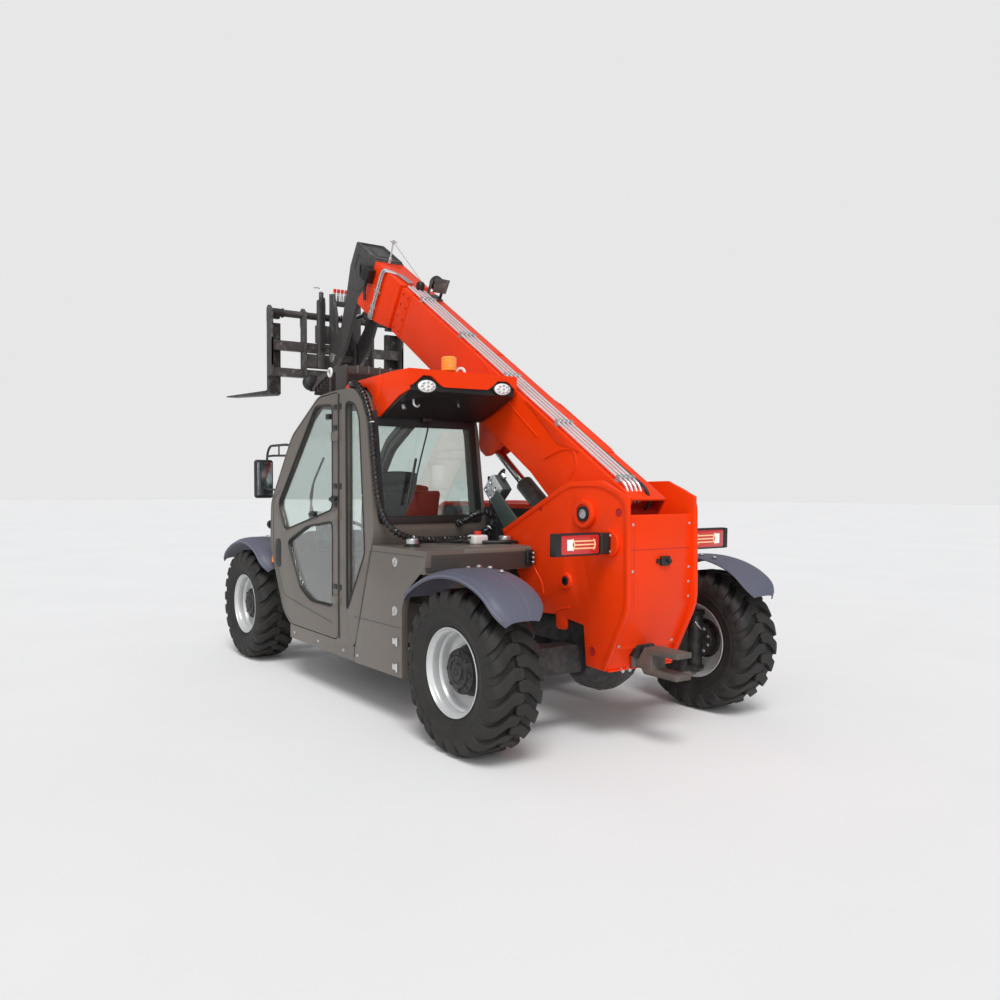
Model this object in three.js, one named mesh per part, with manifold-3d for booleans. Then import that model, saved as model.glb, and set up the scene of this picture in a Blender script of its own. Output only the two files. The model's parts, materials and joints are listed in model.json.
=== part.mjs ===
// A compact telehandler: four equal wheels, a cab on the left, an engine bay on the right and a
// two-section boom between them, raised with pallet forks on its carriage.
// Millimetres. +X is the machine's left, +Y its rear, +Z up. While it is built, lengths along the
// machine are measured from the rear axle and heights from the ground.

import * as THREE from "three";
import { mergeVertices } from "three/addons/utils/BufferGeometryUtils.js";
import Module from "manifold-3d";

const wasm = await Module();
wasm.setup();

// ---------------------------------------------------------------- driving dimensions

const GAP = 0.3; // between pieces that touch
const RUNNING = 6; // between a moving piece and what it passes
const ROUND = 4; // segments of a small rounding
const WHEEL_SIDES = 24; // facets of a tyre and of its rim
const ROD_SIDES = 16; // facets of a pin, rod or tube

// wheels and axles
const WHEELBASE = 2860;
const TRACK = 1760;
const TYRE_RADIUS = 415.5;
const TYRE_WIDTH = 307;
const RIM_FLANGE = 225.5; // radius of the rim's edge
const RIM_SEAT = 211.7; // radius the tyre sits on
const RIM_HALF_WIDTH = 125;
const HUB_RADIUS = 118; // drum in the middle of the rim
const HUB_PROUD = 92; // how far the drum stands out of the wheel's middle plane
const HUB_INNER = 30; // the rim's inner face, inboard of the middle plane
const KINGPIN_INBOARD = 100; // steering axis, inboard of the wheel's middle plane
const KINGPIN_RADIUS = 46;
const KINGPIN_HALF = 150; // half the height of the swivel housing
const YOKE_PLATE = 27; // thickness of the axle's arms above and below the swivel
const YOKE_HALF_WIDTH = 40;
const AXLE_HALF_HEIGHT = 75;
const AXLE_HALF_DEPTH = 62;
const DIFF_RADIUS = 205;

// chassis
const FRAME_HALF = 250; // outside of the boom tower's plates
const TOWER_PLATE = 18;
const RAIL_PLATE = 20;
const RAIL_TOP = 780;
const FRAME_FRONT = -3000;
const BELLY = 300; // underside of the frame between the axles
const OUTRIGGER_TOP = 358;

// boom
const PIVOT_BACK = 145;
const PIVOT_HEIGHT = 1197;
const BOOM_ANGLE = 33; // degrees above level, as it stands
const BOOM_HALF = 125;
const BOOM_TOP = 180; // top and bottom plates, from the line through the pivot
const BOOM_BOTTOM = -148;
const BOOM_HEEL = -190; // the deeper stretch under the pivot
const BOOM_WALL = 10;
const BOOM_LENGTH = 2600; // pivot to the mouth of the outer section
const BOOM_TAIL = 133;
const PAD_ROOM = 8; // between the two sections, filled by wear pads
const PAD_CLEAR = 0.6;
const INNER_WALL = 8;
const INNER_START = 300;
const HEAD_START = 2650;
const HEAD_END = 3105;
const HEAD_BOTTOM = -206;
const HEAD_SKIN = 18;
const EAR_ALONG = 1180; // lift cylinder's upper pin on the boom
const EAR_BELOW = -290;
const EAR_INSIDE = 42; // half the gap between the ears
const EAR_PLATE = 22;

// lift cylinder
const LIFT_BACK = 0;
const LIFT_HEIGHT = 830;
const LIFT_BARREL = 55;
const LIFT_ROD = 28;
const LIFT_BARREL_LENGTH = 860;
const LIFT_EYE = 36; // half the width of each eye
const PIN_RADIUS = 30;
const PIN_CLEAR = 0.8;

// fork carriage
const CARRIAGE_FACE = -3310;
const CARRIAGE_DEPTH = 60;
const CARRIAGE_HALF = 630;
const CARRIAGE_TOP = 2790;
const CARRIAGE_BOTTOM = 2235;
const TILT_BACK = -3120; // the pin the hitch tilts on, at the boom's nose
const TILT_HEIGHT = 2400;
const HITCH_HALF = 88;
const HITCH_PLATE = 26;
const NOSE_PLATE = 28;
const TILT_PIN_RADIUS = 26;

// tilt cylinder
const TILT_BASE_ALONG = 2720; // its lower eye, inside the boom's head
const TILT_BASE_ABOVE = -20;
const TILT_EYE_BACK = -3155; // its rod eye, between the hitch's plates
const TILT_EYE_HEIGHT = 2740;
const TILT_BARREL = 38;
const TILT_BARREL_LENGTH = 610;
const TILT_ROD = 20;
const TILT_EYE = 24; // half the width of each eye
const FORK_CENTRE = 560;
const FORK_WIDTH = 110;
const FORK_THICK = 42;
const FORK_TIP = -4350;
const FORK_HEEL = 2080;

// cab
const CAB_LEFT = 970;
const CAB_RIGHT = 170;
const CAB_WALL = 45;
const CAB_TOP = 1924;
const CAB_SPLIT = 880; // tub below, glazed frame above
const TUB_RIGHT = 258;
const DOOR_EDGE = -1313; // rear edge of the door opening
const DOOR_RIM = 10; // rim of the cab left round the door opening
const DOOR_THICK = 40;
const DOOR_HINGE_OUT = 14; // the hinge line, outside the cab's side
const DOOR_HINGE_BACK = -1300;
const DOOR_HINGES = [620, 1150, 1640]; // heights of the hinges
const GLASS = 8;
const SKIRT_LEFT = 900; // inner face of the sill under the door
const SKIRT_RIGHT = 940; // inner face of the skirt under the engine bay
const PANEL_THICK = 40;
const DECK_BACK = -298; // rear face of the deck and of the tank beside it

// roof
const ROOF_TOP = 1990;
const HOOD_BACK = -590;
const HOOD_FRONT = -1360;
const HOOD_LEFT = 895;
const HOOD_RIGHT = 140;

// engine bay
const BAY_FRONT = -2240;
const BAY_BACK = -640;
const BAY_TOP = 1215;
const BAY_SKIRT_TOP = 494;
const HOOD_SKIN = 32;
const HOOD_HINGE = -272;
const HINGE_BARREL = 12;

// mudguards
const GUARD_RISE = 930;
const GUARD_HALF_LENGTH = 490;
const GUARD_DROP = 190;
const GUARD_SKIN = 22;
const GUARD_INNER = 722;
const GUARD_OUTER = 1028;

// tail lamps, on arms from the tower's rear edges
const LAMP_FACE = 345;
const LAMP_DEPTH = 45;
const LAMP_LOW = 998;
const LAMP_TOP = 1112;
const LAMP_OUTER = 630;

// wiring harness in its spiral wrap, from the roof down the cab's corner post and over the deck
const HOSE_RADIUS = 17;
const HOSE_STEPS = 50;
const HOSE_ROUTE = [
  [895.8, -1215, 1950], [922, -1215, 1950], [944, -1175, 1950], [949, -1105, 1947], [949, -1050, 1907],
  [949, -1001, 1862], [949, -957, 1785], [949, -922, 1722], [949, -898, 1570], [948, -868, 1380],
  [944, -838, 1240], [925, -800, 1140], [880, -768, 1075], [800, -748, 1035], [690, -742, 1019],
  [560, -742, 1019], [440, -745, 1020], [340, -748, 1030], [255, -748, 1054], [196, -745, 1098],
  [194, -745, 1152], [245, -750, 1182], [312, -762, 1168], [362, -782, 1138], [380, -804, 1119.4], [380, -851.7, 1112],
];

// ---------------------------------------------------------------- finishes

/** A finish that gives each piece its own material. */
function finish(color, roughness, metalness) {
  return () => new THREE.MeshStandardMaterial({ color, roughness, metalness });
}
const orangePaint = finish(0xf03c10, 0.35, 0.1);
const cabPaint = finish(0x7a736c, 0.5, 0.1);
const darkSteel = finish(0x3c3a38, 0.55, 0.3);
const chassisBlack = finish(0x232323, 0.6, 0.2);
const mudguardPlastic = finish(0x50525f, 0.6, 0);
const rubber = finish(0x2b2927, 0.9, 0);
const rimPaint = finish(0xc9cdd0, 0.4, 0.3);
const chromeRod = finish(0xd8dadc, 0.15, 1);
const castIron = finish(0x6a625a, 0.7, 0.4);
const tintedGlass = finish(0x8fa8a0, 0.05, 0);
const lampOrange = finish(0xffa020, 0.3, 0);
const lampRed = finish(0xd01818, 0.3, 0);
const valvePaint = finish(0x5c665f, 0.5, 0.3);
const blackPlastic = finish(0x1a1a1a, 0.6, 0);

// ---------------------------------------------------------------- shaping helpers

const machine = new THREE.Group();
const boomFrame = new THREE.Group();

/** A closed solid from any three.js geometry: shared corners merged, slivers at poles dropped. */
function solid(geometry) {
  const bare = new THREE.BufferGeometry();
  bare.setAttribute("position", geometry.attributes.position.clone());
  bare.setIndex(geometry.index ?? [...Array(geometry.attributes.position.count).keys()]);
  const merged = mergeVertices(bare, 1e-3);
  const triangles = [];
  for (let i = 0; i < merged.index.count; i += 3) {
    const [a, b, c] = [merged.index.getX(i), merged.index.getX(i + 1), merged.index.getX(i + 2)];
    if (a !== b && b !== c && c !== a) triangles.push(a, b, c);
  }
  return new wasm.Manifold(new wasm.Mesh({
    numProp: 3,
    vertProperties: Float32Array.from(merged.attributes.position.array),
    triVerts: Uint32Array.from(triangles),
  }));
}

/** The three.js geometry of a finished solid. */
function geometryOf(body) {
  const mesh = body.getMesh();
  const geometry = new THREE.BufferGeometry();
  geometry.setAttribute("position", new THREE.BufferAttribute(mesh.vertProperties, 3));
  geometry.setIndex(new THREE.BufferAttribute(mesh.triVerts, 1));
  geometry.computeVertexNormals();
  return geometry;
}

/** Put a solid in the machine, or in another group, as one named piece. */
function place(name, body, material, group = machine) {
  const mesh = new THREE.Mesh(geometryOf(body), material());
  mesh.name = name;
  group.add(mesh);
  return mesh;
}

const joined = (first, ...others) => others.reduce((whole, other) => whole.add(other), first);
const cut = (first, ...others) => others.reduce((whole, other) => whole.subtract(other), first);

/** A straight-sided outline from its corners. */
function outline(corners) {
  const shape = new THREE.Shape();
  corners.forEach(([x, y], i) => (i ? shape.lineTo(x, y) : shape.moveTo(x, y)));
  shape.closePath();
  return shape;
}

/** The same outline with every corner rounded by up to the given radius. */
function softOutline(corners, radius) {
  const shape = new THREE.Shape();
  const at = (i) => new THREE.Vector2(...corners[(i + corners.length) % corners.length]);
  corners.forEach((_, i) => {
    const corner = at(i);
    const before = at(i - 1).sub(corner);
    const after = at(i + 1).sub(corner);
    const reach = Math.min(radius, before.length() / 2.2, after.length() / 2.2);
    const start = corner.clone().add(before.setLength(reach));
    const end = corner.clone().add(after.setLength(reach));
    if (i) shape.lineTo(start.x, start.y);
    else shape.moveTo(start.x, start.y);
    shape.quadraticCurveTo(corner.x, corner.y, end.x, end.y);
  });
  shape.closePath();
  return shape;
}

/** Corners of an anticlockwise or clockwise convex outline moved inwards by a distance. */
function inset(corners, distance) {
  const count = corners.length;
  const area = corners.reduce((sum, [x, y], i) => {
    const [nx, ny] = corners[(i + 1) % count];
    return sum + x * ny - nx * y;
  }, 0);
  const inward = Math.sign(area) * distance;
  const edges = corners.map(([x, y], i) => {
    const [nx, ny] = corners[(i + 1) % count];
    const length = Math.hypot(nx - x, ny - y);
    const direction = [(nx - x) / length, (ny - y) / length];
    return { point: [x - direction[1] * inward, y + direction[0] * inward], direction };
  });
  return edges.map((edge, i) => {
    const last = edges[(i + count - 1) % count];
    const cross = last.direction[0] * edge.direction[1] - last.direction[1] * edge.direction[0];
    const dx = edge.point[0] - last.point[0];
    const dy = edge.point[1] - last.point[1];
    const along = (dx * edge.direction[1] - dy * edge.direction[0]) / cross;
    return [last.point[0] + last.direction[0] * along, last.point[1] + last.direction[1] * along];
  });
}

const SIDEWAYS = new THREE.Matrix4().makeBasis(
  new THREE.Vector3(0, 1, 0), new THREE.Vector3(0, 0, 1), new THREE.Vector3(1, 0, 0));
const LENGTHWAYS = new THREE.Matrix4().makeRotationX(Math.PI / 2);

function extruded(shape, depth) {
  return new THREE.ExtrudeGeometry(shape, { depth, bevelEnabled: false, curveSegments: ROUND, steps: 1 });
}

/** A side outline (back, up) carried across the machine from x0 to x1. */
function across(shape, x0, x1) {
  return solid(extruded(shape, x1 - x0).translate(0, 0, x0).applyMatrix4(SIDEWAYS));
}

/** A front outline (left, up) carried along the machine from y0 back to y1. */
function along(shape, y0, y1) {
  return solid(extruded(shape, y1 - y0).translate(0, 0, -y1).applyMatrix4(LENGTHWAYS));
}

function block(x0, x1, y0, y1, z0, z1) {
  return solid(new THREE.BoxGeometry(x1 - x0, y1 - y0, z1 - z0)
    .translate((x0 + x1) / 2, (y0 + y1) / 2, (z0 + z1) / 2));
}

/** A round bar between two points. */
function bar(from, to, radius, sides = ROD_SIDES) {
  const a = new THREE.Vector3(...from);
  const b = new THREE.Vector3(...to);
  const turn = new THREE.Quaternion().setFromUnitVectors(new THREE.Vector3(0, 1, 0), b.clone().sub(a).normalize());
  const middle = a.clone().add(b).multiplyScalar(0.5);
  const geometry = new THREE.CylinderGeometry(radius, radius, a.distanceTo(b), sides);
  return solid(geometry.applyQuaternion(turn).translate(middle.x, middle.y, middle.z));
}

/** A round tube or hose through a list of points. */
function tubeAlong(points, radius, steps, sides = 8) {
  const path = new THREE.CatmullRomCurve3(points.map((p) => new THREE.Vector3(...p)));
  const section = new THREE.Shape();
  for (let i = 0; i < sides; i += 1) {
    const turn = (2 * Math.PI * i) / sides;
    const [x, y] = [radius * Math.cos(turn), radius * Math.sin(turn)];
    if (i) section.lineTo(x, y);
    else section.moveTo(x, y);
  }
  return solid(new THREE.ExtrudeGeometry(section, { steps, extrudePath: path, bevelEnabled: false }));
}

/**
 * A turned piece about the wheel's axle line, from (radius, outboard) points that run outboard.
 * Its radii are those of its flats, and one flat faces straight down.
 */
function turned(points, sides) {
  const halfFacet = Math.PI / sides;
  const corners = points.map(([r, a]) => new THREE.Vector2(r / Math.cos(halfFacet), a));
  return solid(new THREE.LatheGeometry(corners, sides, halfFacet).rotateZ(-Math.PI / 2));
}

// ---------------------------------------------------------------- wheels, knuckles and axles

function tyreSolid() {
  const half = TYRE_WIDTH / 2;
  const seat = RIM_SEAT + GAP;
  const side = [
    [seat, 108], [RIM_FLANGE + 4, 118], [296, half], [352, half - 3], [400, half - 18], [TYRE_RADIUS, half - 48],
  ];
  const inboard = side.map(([r, a]) => [r, -a]);
  return turned([...inboard, ...side.reverse(), inboard[0]], WHEEL_SIDES);
}

function rimSolid() {
  const edge = RIM_HALF_WIDTH;
  const bore = RIM_SEAT - 17;
  return turned([
    [0, -HUB_INNER], [116, -HUB_INNER], [bore - 4, 14], [bore, -60], [bore + 7, -edge],
    [RIM_FLANGE, -edge], [RIM_FLANGE, -edge + 8], [RIM_SEAT, -edge + 12], [RIM_SEAT, edge - 12],
    [RIM_FLANGE, edge - 8], [RIM_FLANGE, edge], [bore + 7, edge], [bore - 4, 40], [132, 8], [HUB_RADIUS, 8],
    [HUB_RADIUS - 6, HUB_PROUD - 18], [HUB_RADIUS - 28, HUB_PROUD], [0, HUB_PROUD],
  ], WHEEL_SIDES);
}

/** The swivel that carries a left wheel, drawn about the wheel's centre. */
function knuckleSolid() {
  const pin = -KINGPIN_INBOARD;
  const carrier = turned([
    [0, -78], [96, -78], [104, -60], [104, -HUB_INNER - 0.5], [0, -HUB_INNER - 0.5],
  ], ROD_SIDES);
  const housing = bar([pin, 0, -KINGPIN_HALF], [pin, 0, KINGPIN_HALF], KINGPIN_RADIUS);
  const lever = block(pin - 20, pin + 24, 30, 150, -22, 22);
  return joined(carrier, housing, lever);
}

function axleSolid() {
  const pin = TRACK / 2 - KINGPIN_INBOARD;
  const plate = pin - 152;
  const armLow = KINGPIN_HALF + 0.5;
  const armHigh = armLow + YOKE_PLATE;
  const beam = block(-plate, plate, -AXLE_HALF_DEPTH, AXLE_HALF_DEPTH, -AXLE_HALF_HEIGHT, AXLE_HALF_HEIGHT);
  const differential = turned([
    [0, -200], [110, -190], [175, -120], [DIFF_RADIUS, -30], [DIFF_RADIUS, 30], [175, 120], [110, 190], [0, 200],
  ], 24);
  const pieces = [];
  for (const side of [-1, 1]) {
    const [a, b] = [side * plate, side * (plate + 45)].sort((p, q) => p - q);
    pieces.push(block(a, b, -YOKE_HALF_WIDTH, YOKE_HALF_WIDTH, -armHigh, armHigh));
    const [c, d] = [side * plate, side * (pin + 38)].sort((p, q) => p - q);
    pieces.push(block(c, d, -YOKE_HALF_WIDTH, YOKE_HALF_WIDTH, armLow, armHigh));
    pieces.push(block(c, d, -YOKE_HALF_WIDTH, YOKE_HALF_WIDTH, -armHigh, -armLow));
  }
  return joined(beam, differential, ...pieces);
}

function addRunningGear() {
  for (const [end, back] of [["front", -WHEELBASE], ["rear", 0]]) {
    place(`${end}_axle`, axleSolid(), chassisBlack).position.set(0, back, TYRE_RADIUS);
    for (const [side, sign] of [["left", 1], ["right", -1]]) {
      const wheel = new THREE.Group();
      wheel.position.set((sign * TRACK) / 2, back, TYRE_RADIUS);
      if (sign < 0) wheel.rotation.z = Math.PI;
      place(`knuckle_${end}_${side}`, knuckleSolid(), chassisBlack, wheel);
      place(`rim_${end}_${side}`, rimSolid(), rimPaint, wheel);
      place(`tyre_${end}_${side}`, tyreSolid(), rubber, wheel);
      machine.add(wheel);
    }
  }
}

// ---------------------------------------------------------------- chassis and boom tower

function addChassis() {
  const railOuter = FRAME_HALF - TOWER_PLATE - GAP;
  const railInner = railOuter - RAIL_PLATE;
  const pad = TYRE_RADIUS + AXLE_HALF_HEIGHT + GAP;
  const railSide = outline([
    [FRAME_FRONT, pad], [-2560, pad], [-2440, BELLY], [-440, BELLY], [-300, pad], [250, pad],
    [250, RAIL_TOP], [-2800, RAIL_TOP], [FRAME_FRONT, RAIL_TOP - 80],
  ]);
  const pieces = [across(railSide, -railOuter, -railInner), across(railSide, railInner, railOuter)];
  for (const y of [-2380, -1500, -700]) pieces.push(block(-railInner, railInner, y, y + 18, BELLY, RAIL_TOP - 40));
  pieces.push(block(-railInner, railInner, FRAME_FRONT, FRAME_FRONT + 18, 650, RAIL_TOP - 80));
  pieces.push(block(-railInner, railInner, -2380, -700, BELLY, BELLY + 14));
  for (const y of [-2100, -1250]) pieces.push(block(GAP - SKIRT_RIGHT, SKIRT_LEFT - GAP, y, y + 70, BELLY, OUTRIGGER_TOP));
  pieces.push(block(GAP - SKIRT_RIGHT, CAB_LEFT - PANEL_THICK - GAP, -790, -720, BELLY, OUTRIGGER_TOP));
  const wall = joined(
    block(-275, -railOuter + 1, -2100, -720, BELLY, OUTRIGGER_TOP),
    block(-276, -264, -2200, -680, BELLY, BAY_TOP - 20 - HINGE_BARREL - 0.5),
  );
  place("chassis_frame", joined(...pieces, wall), chassisBlack);
}

function addBoomTower() {
  const side = outline([
    [447, 1290], [460, 730], [293, 390], [157, 396], [134, 607], [-93, 637], [-290, 622],
    [-576, 1073], [3, 1365], [260, 1371],
  ]);
  const [outer, inner] = [FRAME_HALF, FRAME_HALF - TOWER_PLATE];
  for (const [name, sign] of [["left", 1], ["right", -1]]) {
    const [x0, x1] = [sign * inner, sign * outer].sort((p, q) => p - q);
    const plate = across(side, x0, x1);
    const boss = bar([sign * (outer - 2), PIVOT_BACK, PIVOT_HEIGHT], [sign * (outer + 20), PIVOT_BACK, PIVOT_HEIGHT], 72);
    const lower = bar([sign * (outer - 2), LIFT_BACK, LIFT_HEIGHT], [sign * (outer + 12), LIFT_BACK, LIFT_HEIGHT], 42);
    place(`boom_tower_${name}`, joined(plate, boss, lower), orangePaint);
  }
  const edge = inner - GAP;
  const cover = outline([
    [430, 1200], [430, 730], [300, 450], [300, 394], [284, 394], [284, 454], [414, 734], [414, 1200],
  ]);
  place("rear_cover", across(cover, -edge, edge), orangePaint);
  const hitch = outline([
    [300 + GAP, 396], [360, 396], [380, 370], [600, 370], [600, 400], [430, 400], [430, 480], [600, 480],
    [600, 510], [380, 510], [340, 445], [300 + GAP, 445],
  ]);
  place("tow_hitch", across(hitch, -55, 55), castIron);
  place("lift_cylinder_pin", bar([-edge, LIFT_BACK, LIFT_HEIGHT], [edge, LIFT_BACK, LIFT_HEIGHT], PIN_RADIUS), darkSteel);
}

// ---------------------------------------------------------------- boom

/** A boom-side outline from (along the boom, above its line) corners. */
const boomOutline = (corners) => outline(corners.map(([s, t]) => [-s, t]));

function addBoom() {
  boomFrame.position.set(0, PIVOT_BACK, PIVOT_HEIGHT);
  boomFrame.rotation.x = -THREE.MathUtils.degToRad(BOOM_ANGLE);
  machine.add(boomFrame);

  const side = boomOutline([
    [-BOOM_TAIL, BOOM_TOP], [-BOOM_TAIL, -60], [60, BOOM_HEEL], [320, BOOM_HEEL], [640, BOOM_BOTTOM],
    [BOOM_LENGTH, BOOM_BOTTOM], [BOOM_LENGTH, BOOM_TOP],
  ]);
  const room = boomOutline([
    [240, BOOM_TOP - BOOM_WALL], [240, BOOM_BOTTOM + BOOM_WALL], [BOOM_LENGTH + 10, BOOM_BOTTOM + BOOM_WALL],
    [BOOM_LENGTH + 10, BOOM_TOP - BOOM_WALL],
  ]);
  const tail = boomOutline([
    [-BOOM_TAIL - 5, BOOM_TOP - BOOM_WALL], [-BOOM_TAIL - 5, 90], [-60, 90], [-60, BOOM_TOP - BOOM_WALL],
  ]);
  const half = BOOM_HALF - BOOM_WALL;
  const shell = cut(across(side, -BOOM_HALF, BOOM_HALF), across(room, -half, half), across(tail, -half, half));
  const tubeEnd = FRAME_HALF - TOWER_PLATE - GAP;
  const pivot = bar([-tubeEnd, 0, 0], [tubeEnd, 0, 0], 68, 24);
  const earSide = boomOutline([
    [EAR_ALONG - 190, BOOM_BOTTOM + 2], [EAR_ALONG - 70, EAR_BELOW - 30], [EAR_ALONG - 35, EAR_BELOW - 60],
    [EAR_ALONG + 35, EAR_BELOW - 60], [EAR_ALONG + 70, EAR_BELOW - 30], [EAR_ALONG + 190, BOOM_BOTTOM + 2],
  ]);
  const ears = [-1, 1].map((s) => {
    const [a, b] = [s * EAR_INSIDE, s * (EAR_INSIDE + EAR_PLATE)].sort((p, q) => p - q);
    return across(earSide, a, b);
  });
  const [padA, padB] = [BOOM_LENGTH - 120, BOOM_LENGTH - 10];
  const reach = PAD_ROOM - PAD_CLEAR;
  const pads = [
    block(-80, 80, -padB, -padA, BOOM_TOP - BOOM_WALL - reach, BOOM_TOP - BOOM_WALL + 1),
    block(-80, 80, -padB, -padA, BOOM_BOTTOM + BOOM_WALL - 1, BOOM_BOTTOM + BOOM_WALL + reach),
    block(half - reach, half + 1, -padB, -padA, -100, 130),
    block(-half - 1, -half + reach, -padB, -padA, -100, 130),
  ];
  place("boom_outer", joined(shell, pivot, ...ears, ...pads), orangePaint, boomFrame);

  const innerHalf = half - PAD_ROOM;
  const [top, bottom] = [BOOM_TOP - BOOM_WALL - PAD_ROOM, BOOM_BOTTOM + BOOM_WALL + PAD_ROOM];
  const beam = block(-innerHalf, innerHalf, -HEAD_END + 20, -INNER_START, bottom, top);
  const head = across(boomOutline([
    [HEAD_START, BOOM_TOP + 6], [HEAD_START, BOOM_BOTTOM - 6], [HEAD_START + 230, HEAD_BOTTOM],
    [HEAD_END + 112, HEAD_BOTTOM], [HEAD_END + 122, -160], [HEAD_END, 20], [HEAD_END, BOOM_TOP + 6],
  ]), -BOOM_HALF, BOOM_HALF);
  const rear = [
    block(-80, 80, -INNER_START - 100, -INNER_START, top - 1, top + reach),
    block(-80, 80, -INNER_START - 100, -INNER_START, bottom - reach, bottom + 1),
    block(innerHalf - 1, innerHalf + reach, -INNER_START - 100, -INNER_START, -100, 130),
    block(-innerHalf - reach, -innerHalf + 1, -INNER_START - 100, -INNER_START, -100, 130),
  ];
  const bore = block(-innerHalf + INNER_WALL, innerHalf - INNER_WALL, -HEAD_END - 200, -INNER_START + 10,
    bottom + INNER_WALL, top - INNER_WALL);
  const headRoom = across(boomOutline([
    [HEAD_START + 100, 100], [HEAD_START + 100, bottom + INNER_WALL], [HEAD_START + 230, HEAD_BOTTOM + HEAD_SKIN],
    [HEAD_END + 200, HEAD_BOTTOM + HEAD_SKIN], [HEAD_END + 200, 100],
  ]), HEAD_SKIN - BOOM_HALF, BOOM_HALF - HEAD_SKIN);
  const cylinderSlot = block(-62, 62, -HEAD_END - 200, -HEAD_START - 190, HEAD_BOTTOM - 20, 0);
  const base = bar([-innerHalf, -TILT_BASE_ALONG, TILT_BASE_ABOVE], [innerHalf, -TILT_BASE_ALONG, TILT_BASE_ABOVE],
    TILT_PIN_RADIUS - 4);
  place("boom_inner", joined(cut(joined(beam, head, ...rear), bore, headRoom, cylinderSlot), base), orangePaint, boomFrame);
}

/** Where a point (back, up) of the standing machine lies on the boom: along it and above its line. */
function onBoom(back, height) {
  const angle = THREE.MathUtils.degToRad(BOOM_ANGLE);
  const [y, z] = [back - PIVOT_BACK, height - PIVOT_HEIGHT];
  return [-y * Math.cos(angle) + z * Math.sin(angle), y * Math.sin(angle) + z * Math.cos(angle)];
}

/** The dark nose on the boom's head; the hitch hangs between its plates. */
function addBoomNose() {
  const [pinAlong, pinAbove] = onBoom(TILT_BACK, TILT_HEIGHT);
  const start = HEAD_END + GAP;
  const side = boomOutline([
    [start, 20], [start, BOOM_TOP + 12], [start + 383, BOOM_TOP + 12], [start + 390, 0], [start + 335, -200],
    [start + 280, -480], [pinAlong + 62, pinAbove + 60], [pinAlong + 75, pinAbove], [pinAlong + 45, pinAbove - 62],
    [pinAlong - 30, pinAbove - 76], [pinAlong - 95, pinAbove - 30], [start + 122, -600], [start + 122, -160],
  ]);
  const inside = HITCH_HALF + RUNNING;
  const half = inside + NOSE_PLATE;
  const plates = [-1, 1].map((s) => {
    const [a, b] = [s * inside, s * half].sort((p, q) => p - q);
    return across(side, a, b);
  });
  const topPlate = block(-half, half, -start - 383, -start, BOOM_TOP - 8, BOOM_TOP + 12);
  const backPlate = block(-half, half, -start - 18, -start, 25, BOOM_TOP);
  const pin = bar([-half, -pinAlong, pinAbove], [half, -pinAlong, pinAbove], TILT_PIN_RADIUS);
  place("boom_nose", joined(...plates, topPlate, backPlate, pin), darkSteel, boomFrame);
}

// ---------------------------------------------------------------- cylinders

/** A cylinder's barrel and rod, drawn from its lower eye forwards along the group's -Y. */
function addCylinder(name, line, span, size) {
  const { barrel, rod, length, eye, lowerEye, upperEye, rodStart, pin } = size;
  const bore = bar([0, -lowerEye - 40, 0], [0, -length - 5, 0], rod + PIN_CLEAR);
  const eyeSolid = bar([-eye, 0, 0], [eye, 0, 0], lowerEye, 24);
  const pinHole = bar([-eye - 5, 0, 0], [eye + 5, 0, 0], pin + PIN_CLEAR);
  const tube = bar([0, -lowerEye + 10, 0], [0, -length, 0], barrel, 24);
  place(`${name}_barrel`, cut(joined(eyeSolid, tube), pinHole, bore), darkSteel, line);
  const rodEye = bar([-eye, -span, 0], [eye, -span, 0], upperEye, 24);
  place(`${name}_rod`, joined(bar([0, -span + 20, 0], [0, -rodStart, 0], rod), rodEye), chromeRod, line);
}

/** A group at one eye of a cylinder, turned so that its -Y points at the other eye; both as (back, up). */
function cylinderLine([back, height], [eyeBack, eyeHeight]) {
  const line = new THREE.Group();
  line.position.set(0, back, height);
  line.rotation.x = -Math.atan2(eyeHeight - height, back - eyeBack);
  machine.add(line);
  return [line, Math.hypot(eyeBack - back, eyeHeight - height)];
}

/** Where a point of the boom lies on the standing machine. */
function offBoom(alongBoom, above) {
  const angle = THREE.MathUtils.degToRad(BOOM_ANGLE);
  return [
    PIVOT_BACK - alongBoom * Math.cos(angle) + above * Math.sin(angle),
    PIVOT_HEIGHT + alongBoom * Math.sin(angle) + above * Math.cos(angle),
  ];
}

function addCylinders() {
  const [liftLine, liftSpan] = cylinderLine([LIFT_BACK, LIFT_HEIGHT], offBoom(EAR_ALONG, EAR_BELOW));
  addCylinder("lift_cylinder", liftLine, liftSpan, {
    barrel: LIFT_BARREL, rod: LIFT_ROD, length: LIFT_BARREL_LENGTH, eye: LIFT_EYE, lowerEye: 56, upperEye: 46,
    rodStart: 460, pin: PIN_RADIUS,
  });
  const [tiltLine, tiltSpan] = cylinderLine(
    offBoom(TILT_BASE_ALONG, TILT_BASE_ABOVE), [TILT_EYE_BACK, TILT_EYE_HEIGHT]);
  addCylinder("tilt_cylinder", tiltLine, tiltSpan, {
    barrel: TILT_BARREL, rod: TILT_ROD, length: TILT_BARREL_LENGTH, eye: TILT_EYE, lowerEye: 42, upperEye: 32,
    rodStart: 340, pin: TILT_PIN_RADIUS - 4,
  });
}

// ---------------------------------------------------------------- carriage and forks

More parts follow.
